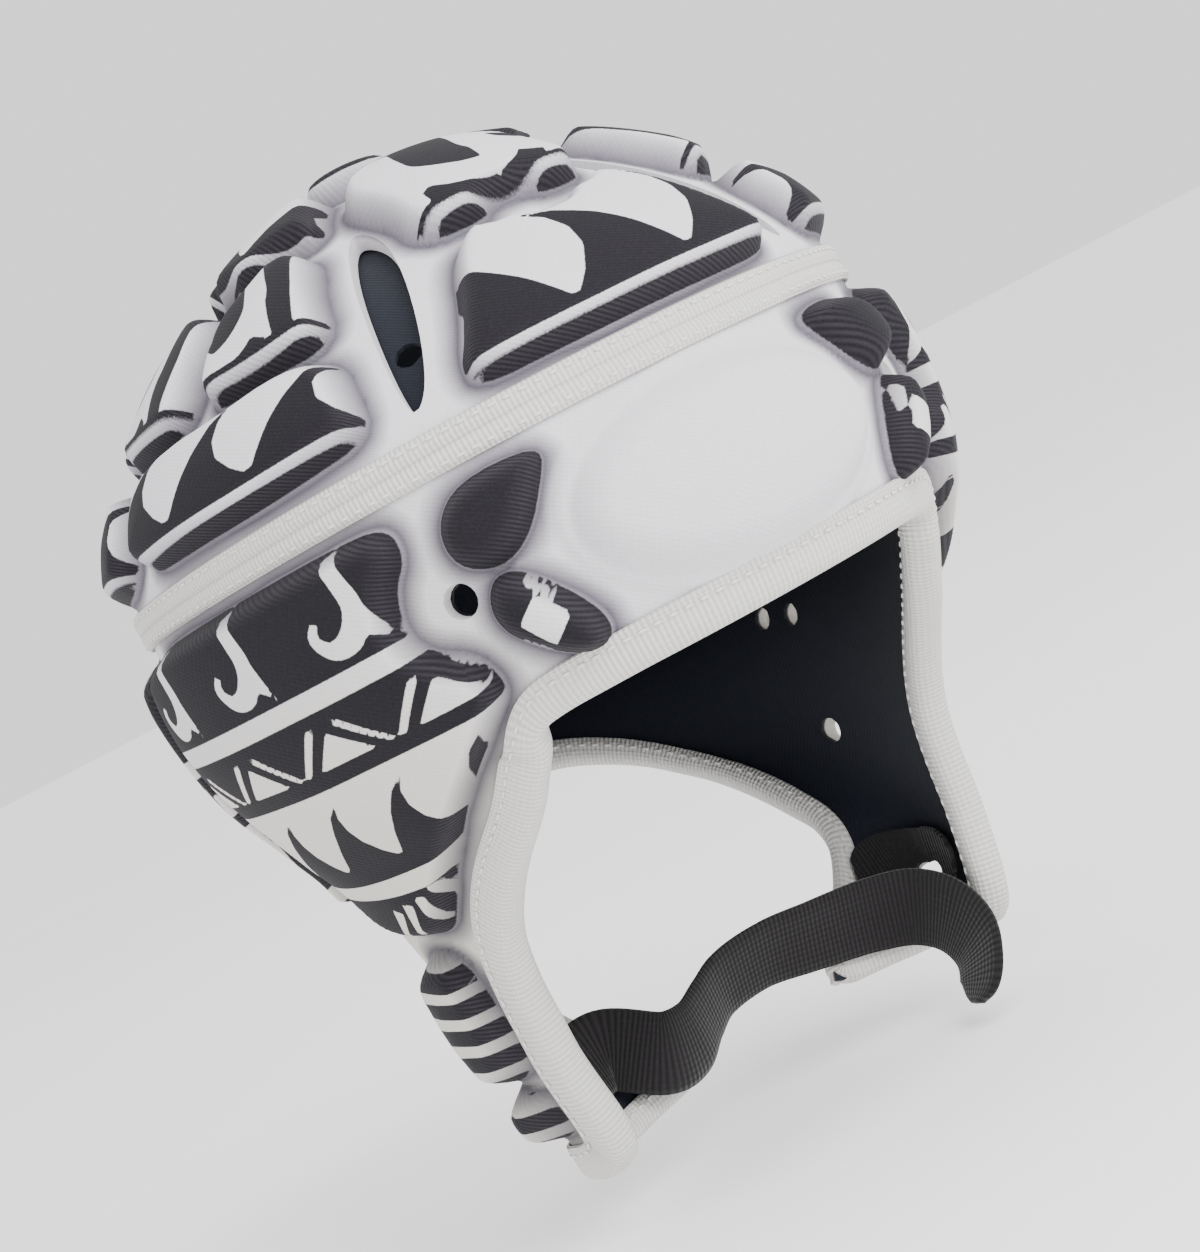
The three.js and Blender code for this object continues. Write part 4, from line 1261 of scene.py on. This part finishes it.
class ScrumCapSettings(bpy.types.PropertyGroup):
    white: colour_setting("Knit", "Colour of the knit on top", (0.74, 0.71, 0.755, 1))
    # Colour of the darker, warmer tone painted down the lower sides for reflected light and shade
    side_reflect_and_shade: colour_setting("Painted side tone", "Colour painted down the lower sides for reflected light and shade", (0.63, 0.61, 0.555, 1))
    # Colour of the shade painted round the foot of every pad
    shadow: colour_setting("Painted pad shade", "Colour of the shade painted round the foot of every pad", (0.05, 0.042, 0.066, 1))
    ink: colour_setting("Print", "Colour of the dark print", (0.009, 0.008, 0.011, 1))
    tape: colour_setting("Tape", "Colour of the tape and the binding", (0.70, 0.69, 0.66, 1))
    lining: colour_setting("Lining", "Colour of the lining", (0.0045, 0.006, 0.012, 1))
    webbing: colour_setting("Webbing", "Colour of the strap and its tab", (0.008, 0.007, 0.008, 1))
    knit_pitch: length_setting("Knit pitch", "Distance between the lines of the knit", 0.0009)
    cover_grid: length_setting("Cover grid", "Size of the cover's mesh", 0.0011)
    lining_grid: length_setting("Lining grid", "Size of the lining's mesh", 0.0022)
    strap_width: length_setting("Strap width", "Width of the chin strap", 0.0185)
    strap_thickness: length_setting("Strap thickness", "Thickness of the chin strap", 0.0019)
    stitch_pitch: length_setting("Stitch pitch", "Distance between two stitches", 0.0034)


def settings_of(context):
    return context.scene.scrum_cap


def material_of(name, maker):
    """The material of this name, made the first time that it is asked for."""
    return bpy.data.materials.get(name) or maker()


def tape_cloth(settings):
    return material_of("ribbed_tape", lambda: ribbed_material("ribbed_tape", settings.tape,
        (0.36, 0.34, 0.33), 1.15, 0.00012))


def strap_cloth(settings):
    return material_of("strap_webbing", lambda: ribbed_material("strap_webbing", settings.webbing,
        (0.03, 0.028, 0.03), 1.1, 0.00009, 0.15))


def thread_finish():
    return material_of("thread", lambda: plain_finish("thread", (0.78, 0.77, 0.75), 0.7, 900))


def cover_cloth(settings):
    return material_of("knit_print", lambda: knit_material(settings))


class CAP_OT_crown_cover(bpy.types.Operator):
    """Build the printed cover of the crown with all its pads"""

    bl_idname = "scrum_cap.crown_cover"
    bl_label = "Crown cover"

    def execute(self, context):
        s = settings_of(context)
        grid = s.cover_grid / MM
        phi, level, triangles = ring_grid(even_levels(1.0, crown_level(GAP), grid), grid)
        near, far = Chart(31, True), Chart(-31, True)
        outline = np.array(VENT)
        right = near.places(outline[:, 0], outline[:, 1])
        left = far.places(-outline[:, 0], outline[:, 1])
        right, left = rounded(right, 2), rounded(left, 2)

        def keep(p, l):
            inside = np.maximum(inside_distance(near.places(p, l), right),
                inside_distance(far.places(p, l), left))
            return -inside

        phi, level, triangles = cut_sheet(phi, level, triangles, keep)
        cover = make_cover("crown_cover", phi, level, triangles, True, cover_cloth(s))
        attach(cover, "root")
        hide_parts("crown_shell", *CROWN_PADS)
        return {"FINISHED"}


class CAP_OT_lower_cover(bpy.types.Operator):
    """Build the printed cover of the sides, the flaps and the back with all its pads"""

    bl_idname = "scrum_cap.lower_cover"
    bl_label = "Side and back cover"

    def execute(self, context):
        s = settings_of(context)
        grid = s.cover_grid / MM
        phi, level, triangles = ring_grid(even_levels(-0.002, -1.07, grid), grid)
        phi, level, triangles = cut_sheet(phi, level, triangles, side_keep)
        cover = make_cover("lower_cover", phi, level, triangles, False, cover_cloth(s))
        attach(cover, "root")
        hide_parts("lower_shell", *LOWER_PADS)
        return {"FINISHED"}


def side_keep(phi, level):
    holes = from_holes(phi, level, [TEMPLE_HOLE, EAR_HOLE] + REAR_HOLES)
    return np.minimum(np.minimum(from_edge(phi, level), holes), from_slot(phi, level))


def cloth_area(phi, level, triangles):
    """Area in square metres of a piece of cloth laid on the surface."""
    p = surface(phi, level) * MM
    a, b, c = p[triangles[:, 0]], p[triangles[:, 1]], p[triangles[:, 2]]
    return 0.5 * np.linalg.norm(np.cross(b - a, c - a), axis=1).sum()


class CAP_OT_linings(bpy.types.Operator):
    """Build the two dark linings"""

    bl_idname = "scrum_cap.linings"
    bl_label = "Linings"

    def execute(self, context):
        s = settings_of(context)
        grid = s.lining_grid / MM
        cloth = material_of("lining_cloth", lambda: lining_material(s))
        phi, level, triangles = ring_grid(even_levels(1.0, crown_level(GAP), grid), grid)
        phi, level, triangles = cut_sheet(phi, level, triangles, lambda p,
            l: from_holes(p, l, [LINING_VENT]))
        crown = thin_sheet("crown_lining_cloth", phi, level, triangles, LINING_BOTTOM, LINING_TOP, cloth)
        area = cloth_area(phi, level, triangles)
        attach(crown, "root")
        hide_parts("crown_lining")
        phi, level, triangles = ring_grid(even_levels(-0.002, -1.07, grid), grid)
        phi, level, triangles = cut_sheet(phi, level, triangles, side_keep)
        side = thin_sheet("side_lining_cloth", phi, level, triangles, LINING_BOTTOM, LINING_TOP, cloth)
        area = cloth_area(phi, level, triangles)
        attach(side, "root")
        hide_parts("side_lining")
        return {"FINISHED"}


class CAP_OT_seam_tape(bpy.types.Operator):
    """Build the ribbed tape over the seam, with its stitches"""

    bl_idname = "scrum_cap.seam_tape"
    bl_label = "Seam tape"

    def execute(self, context):
        s = settings_of(context)
        points, faces, uv = ring_of(TAPE_SECTION, 1.6)
        tape = make_object("seam_tape_ribbon", points, faces, tape_cloth(s), uv=uv)
        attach(tape, "root")
        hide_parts("seam_tape")
        lines = []
        for height in (1.3, -4.0):
            phi = np.linspace(0, 360, 360, endpoint=False)
            level = crown_level(height) if height > 0 else height / FLAP_DEPTH
            lines.append((lifted(phi, level, np.full(360, 1.5)), True))
        thread = thread_finish()
        stitches = make_stitches("seam_stitches", lines, stitches_for(thread), s.stitch_pitch, thread)
        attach(stitches, "root")
        return {"FINISHED"}


def stitches_for(thread):
    return bpy.data.node_groups.get("stitches") or stitch_tree(thread)


class CAP_OT_edge_binding(bpy.types.Operator):
    """Build the elastic binding round the face, the flaps and the neck, with its stitches"""

    bl_idname = "scrum_cap.edge_binding"
    bl_label = "Edge binding"

    def execute(self, context):
        s = settings_of(context)
        binding = make_binding(tape_cloth(s))
        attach(binding, "root")
        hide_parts("edge_binding")
        thread = thread_finish()
        rows, _ = edge_rows([3.2, 6.6], 2.0)
        outer = lifted(*rows[6.6], np.full(len(rows[6.6][0]), 1.5))
        inner = lifted(*rows[3.2], np.full(len(rows[3.2][0]), -6.85))
        stitches = make_stitches("binding_stitches", [(outer, True), (inner, True)], stitches_for(thread),
            s.stitch_pitch, thread)
        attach(stitches, "root")
        return {"FINISHED"}


class CAP_OT_strap_tab(bpy.types.Operator):
    """Build the slotted tab that the strap folds through"""

    bl_idname = "scrum_cap.strap_tab"
    bl_label = "Strap tab"

    def execute(self, context):
        s = settings_of(context)
        outline = np.array(TAB)
        chart = Chart(SLOT_PHI, False)
        edge = rounded(chart.places(outline[:, 0], outline[:, 1]), 2)
        phi, level, triangles = patch_grid(outline[:, 0].min() - 4, outline[:, 0].max() + 4, -0.82, -0.99,
            1.0)
        phi, level, triangles = cut_sheet(phi, level, triangles,
                                          lambda p,
                                          l: np.minimum(inside_distance(chart.places(p, l), edge),
                                              from_slot(p, l)))
        tab = thin_sheet("strap_tab_webbing", phi, level, triangles, -8.1, -6.9, strap_cloth(s))
        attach(tab, "root")
        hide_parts("strap_tab")
        return {"FINISHED"}


class CAP_OT_chin_strap(bpy.types.Operator):
    """Build the chin strap from the end sewn on inside the right flap to the tongue folded over the tab"""

    bl_idname = "scrum_cap.chin_strap"
    bl_label = "Chin strap"

    def execute(self, context):
        s = settings_of(context)
        strap, length = make_strap(s, strap_cloth(s))
        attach(strap, "root")
        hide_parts("chin_strap")
        outline = np.array(SEWN_END)
        chart = Chart(-105, False)
        edge = rounded(chart.places(-outline[:, 0], outline[:, 1]), 2)
        phi, level, triangles = patch_grid(-outline[:, 0].max() - 4, -outline[:, 0].min() + 4, -0.83,
            -0.97, 1.0)
        phi, level, triangles = cut_sheet(phi, level, triangles, lambda p,
            l: inside_distance(chart.places(p, l), edge))
        sewn = thin_sheet("strap_sewn_end", phi, level, triangles, -7.6, -5.6, strap_cloth(s))
        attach(sewn, "root")
        return {"FINISHED"}


def floor_square(name, size, height, material):
    half = size / 2
    points = [(-half, -half, height), (half, -half, height), (half, half, height), (-half, half, height)]
    mesh = bpy.data.meshes.new(name)
    mesh.from_pydata(points, [], [(0, 1, 2, 3)])
    mesh.materials.append(material)
    made = bpy.data.objects.new(name, mesh)
    bpy.context.scene.collection.objects.link(made)
    return made


def soft_light(name, place, aim, size, power, colour=(1, 1, 1)):
    """A square area light that looks at a point."""
    data = bpy.data.lights.new(name, "AREA")
    data.shape = "SQUARE"
    data.size = size
    data.energy = power
    data.color = colour
    made = bpy.data.objects.new(name, data)
    made.location = place
    made.rotation_euler = (Vector(aim) - Vector(place)).to_track_quat("-Z", "Y").to_euler()
    bpy.context.scene.collection.objects.link(made)
    return made


def camera_axes():
    """Right, up and back of the photograph's camera before its roll."""
    a, e = math.radians(CAMERA_AZIMUTH), math.radians(CAMERA_ELEVATION)
    back = Vector((math.sin(a) * math.cos(e), -math.cos(a) * math.cos(e), math.sin(e)))
    right = Vector((math.cos(a), math.sin(a), 0))
    return right, back.cross(right), back


class CAP_OT_stage(bpy.types.Operator):
    """Build the pale floor, the soft lights and the camera of the photograph"""

    bl_idname = "scrum_cap.stage"
    bl_label = "Stage"

    def execute(self, context):
        pale = plain_finish("stage_floor", (0.96, 0.96, 0.96), 0.9, 4)
        glow = pale.node_tree.nodes["Principled BSDF"]
        glow.inputs["Emission Color"].default_value = (1, 1, 1, 1)
        glow.inputs["Emission Strength"].default_value = 0.4
        floor = floor_square("floor", 60.0, CAD_BOX[0][2] - 0.004, pale)
        right, up, back = camera_axes()
        centre = Vector((0, 0, (AIM_HEIGHT - RAISED) * MM))
        place = centre + (right * CAMERA_AIM[0] + up * CAMERA_AIM[1] + back * CAMERA_DISTANCE) * MM
        r = math.radians(CAMERA_ROLL)
        across = right * math.cos(r) - up * math.sin(r)
        high = right * math.sin(r) + up * math.cos(r)
        data = bpy.data.cameras.new("photo_camera")
        data.sensor_fit = "HORIZONTAL"
        data.sensor_width = 36
        data.lens = 36 * FOCAL_SHARE
        data.clip_start = 0.01
        camera = bpy.data.objects.new("photo_camera", data)
        camera.matrix_world = Matrix.Translation(place) @ Matrix((across, high, back)).transposed().to_4x4()
        context.scene.collection.objects.link(camera)
        context.scene.camera = camera
        world = bpy.data.worlds.new("soft_white")
        world.use_nodes = True
        world.node_tree.nodes["Background"].inputs["Color"].default_value = (1, 1, 1, 1)
        world.node_tree.nodes["Background"].inputs["Strength"].default_value = 1.35
        context.scene.world = world
        soft_light("key", centre + high * 0.9 + back * 0.75 + across * 0.25, centre, 0.9, 21)
        soft_light("fill", centre - across * 1.2 + back * 0.9 + high * 0.1, centre, 1.2, 4)
        return {"FINISHED"}


class CAP_PT_panel(bpy.types.Panel):
    """The cap's settings and the buttons that build its pieces"""

    bl_idname = "CAP_PT_panel"
    bl_label = "Scrum cap"
    bl_space_type = "VIEW_3D"
    bl_region_type = "UI"
    bl_category = "Scrum cap"

    def draw(self, context):
        settings = settings_of(context)
        for name in ScrumCapSettings.__annotations__:
            self.layout.prop(settings, name)
        for operator in OPERATORS:
            self.layout.operator(operator.bl_idname)


OPERATORS = (
    CAP_OT_crown_cover,
    CAP_OT_lower_cover,
    CAP_OT_linings,
    CAP_OT_seam_tape,
    CAP_OT_edge_binding,
    CAP_OT_strap_tab,
    CAP_OT_chin_strap,
    CAP_OT_stage,
)
CLASSES = (ScrumCapSettings, *OPERATORS, CAP_PT_panel)


def register():
    for made in CLASSES:
        bpy.utils.register_class(made)
    bpy.types.Scene.scrum_cap = bpy.props.PointerProperty(type=ScrumCapSettings)


def unregister():
    del bpy.types.Scene.scrum_cap
    for made in reversed(CLASSES):
        bpy.utils.unregister_class(made)


def main():
    register()
    bpy.ops.scrum_cap.crown_cover()
    bpy.ops.scrum_cap.lower_cover()
    bpy.ops.scrum_cap.linings()
    bpy.ops.scrum_cap.seam_tape()
    bpy.ops.scrum_cap.edge_binding()
    bpy.ops.scrum_cap.strap_tab()
    bpy.ops.scrum_cap.chin_strap()
    bpy.ops.scrum_cap.stage()


if __name__ == "__main__":
    main()
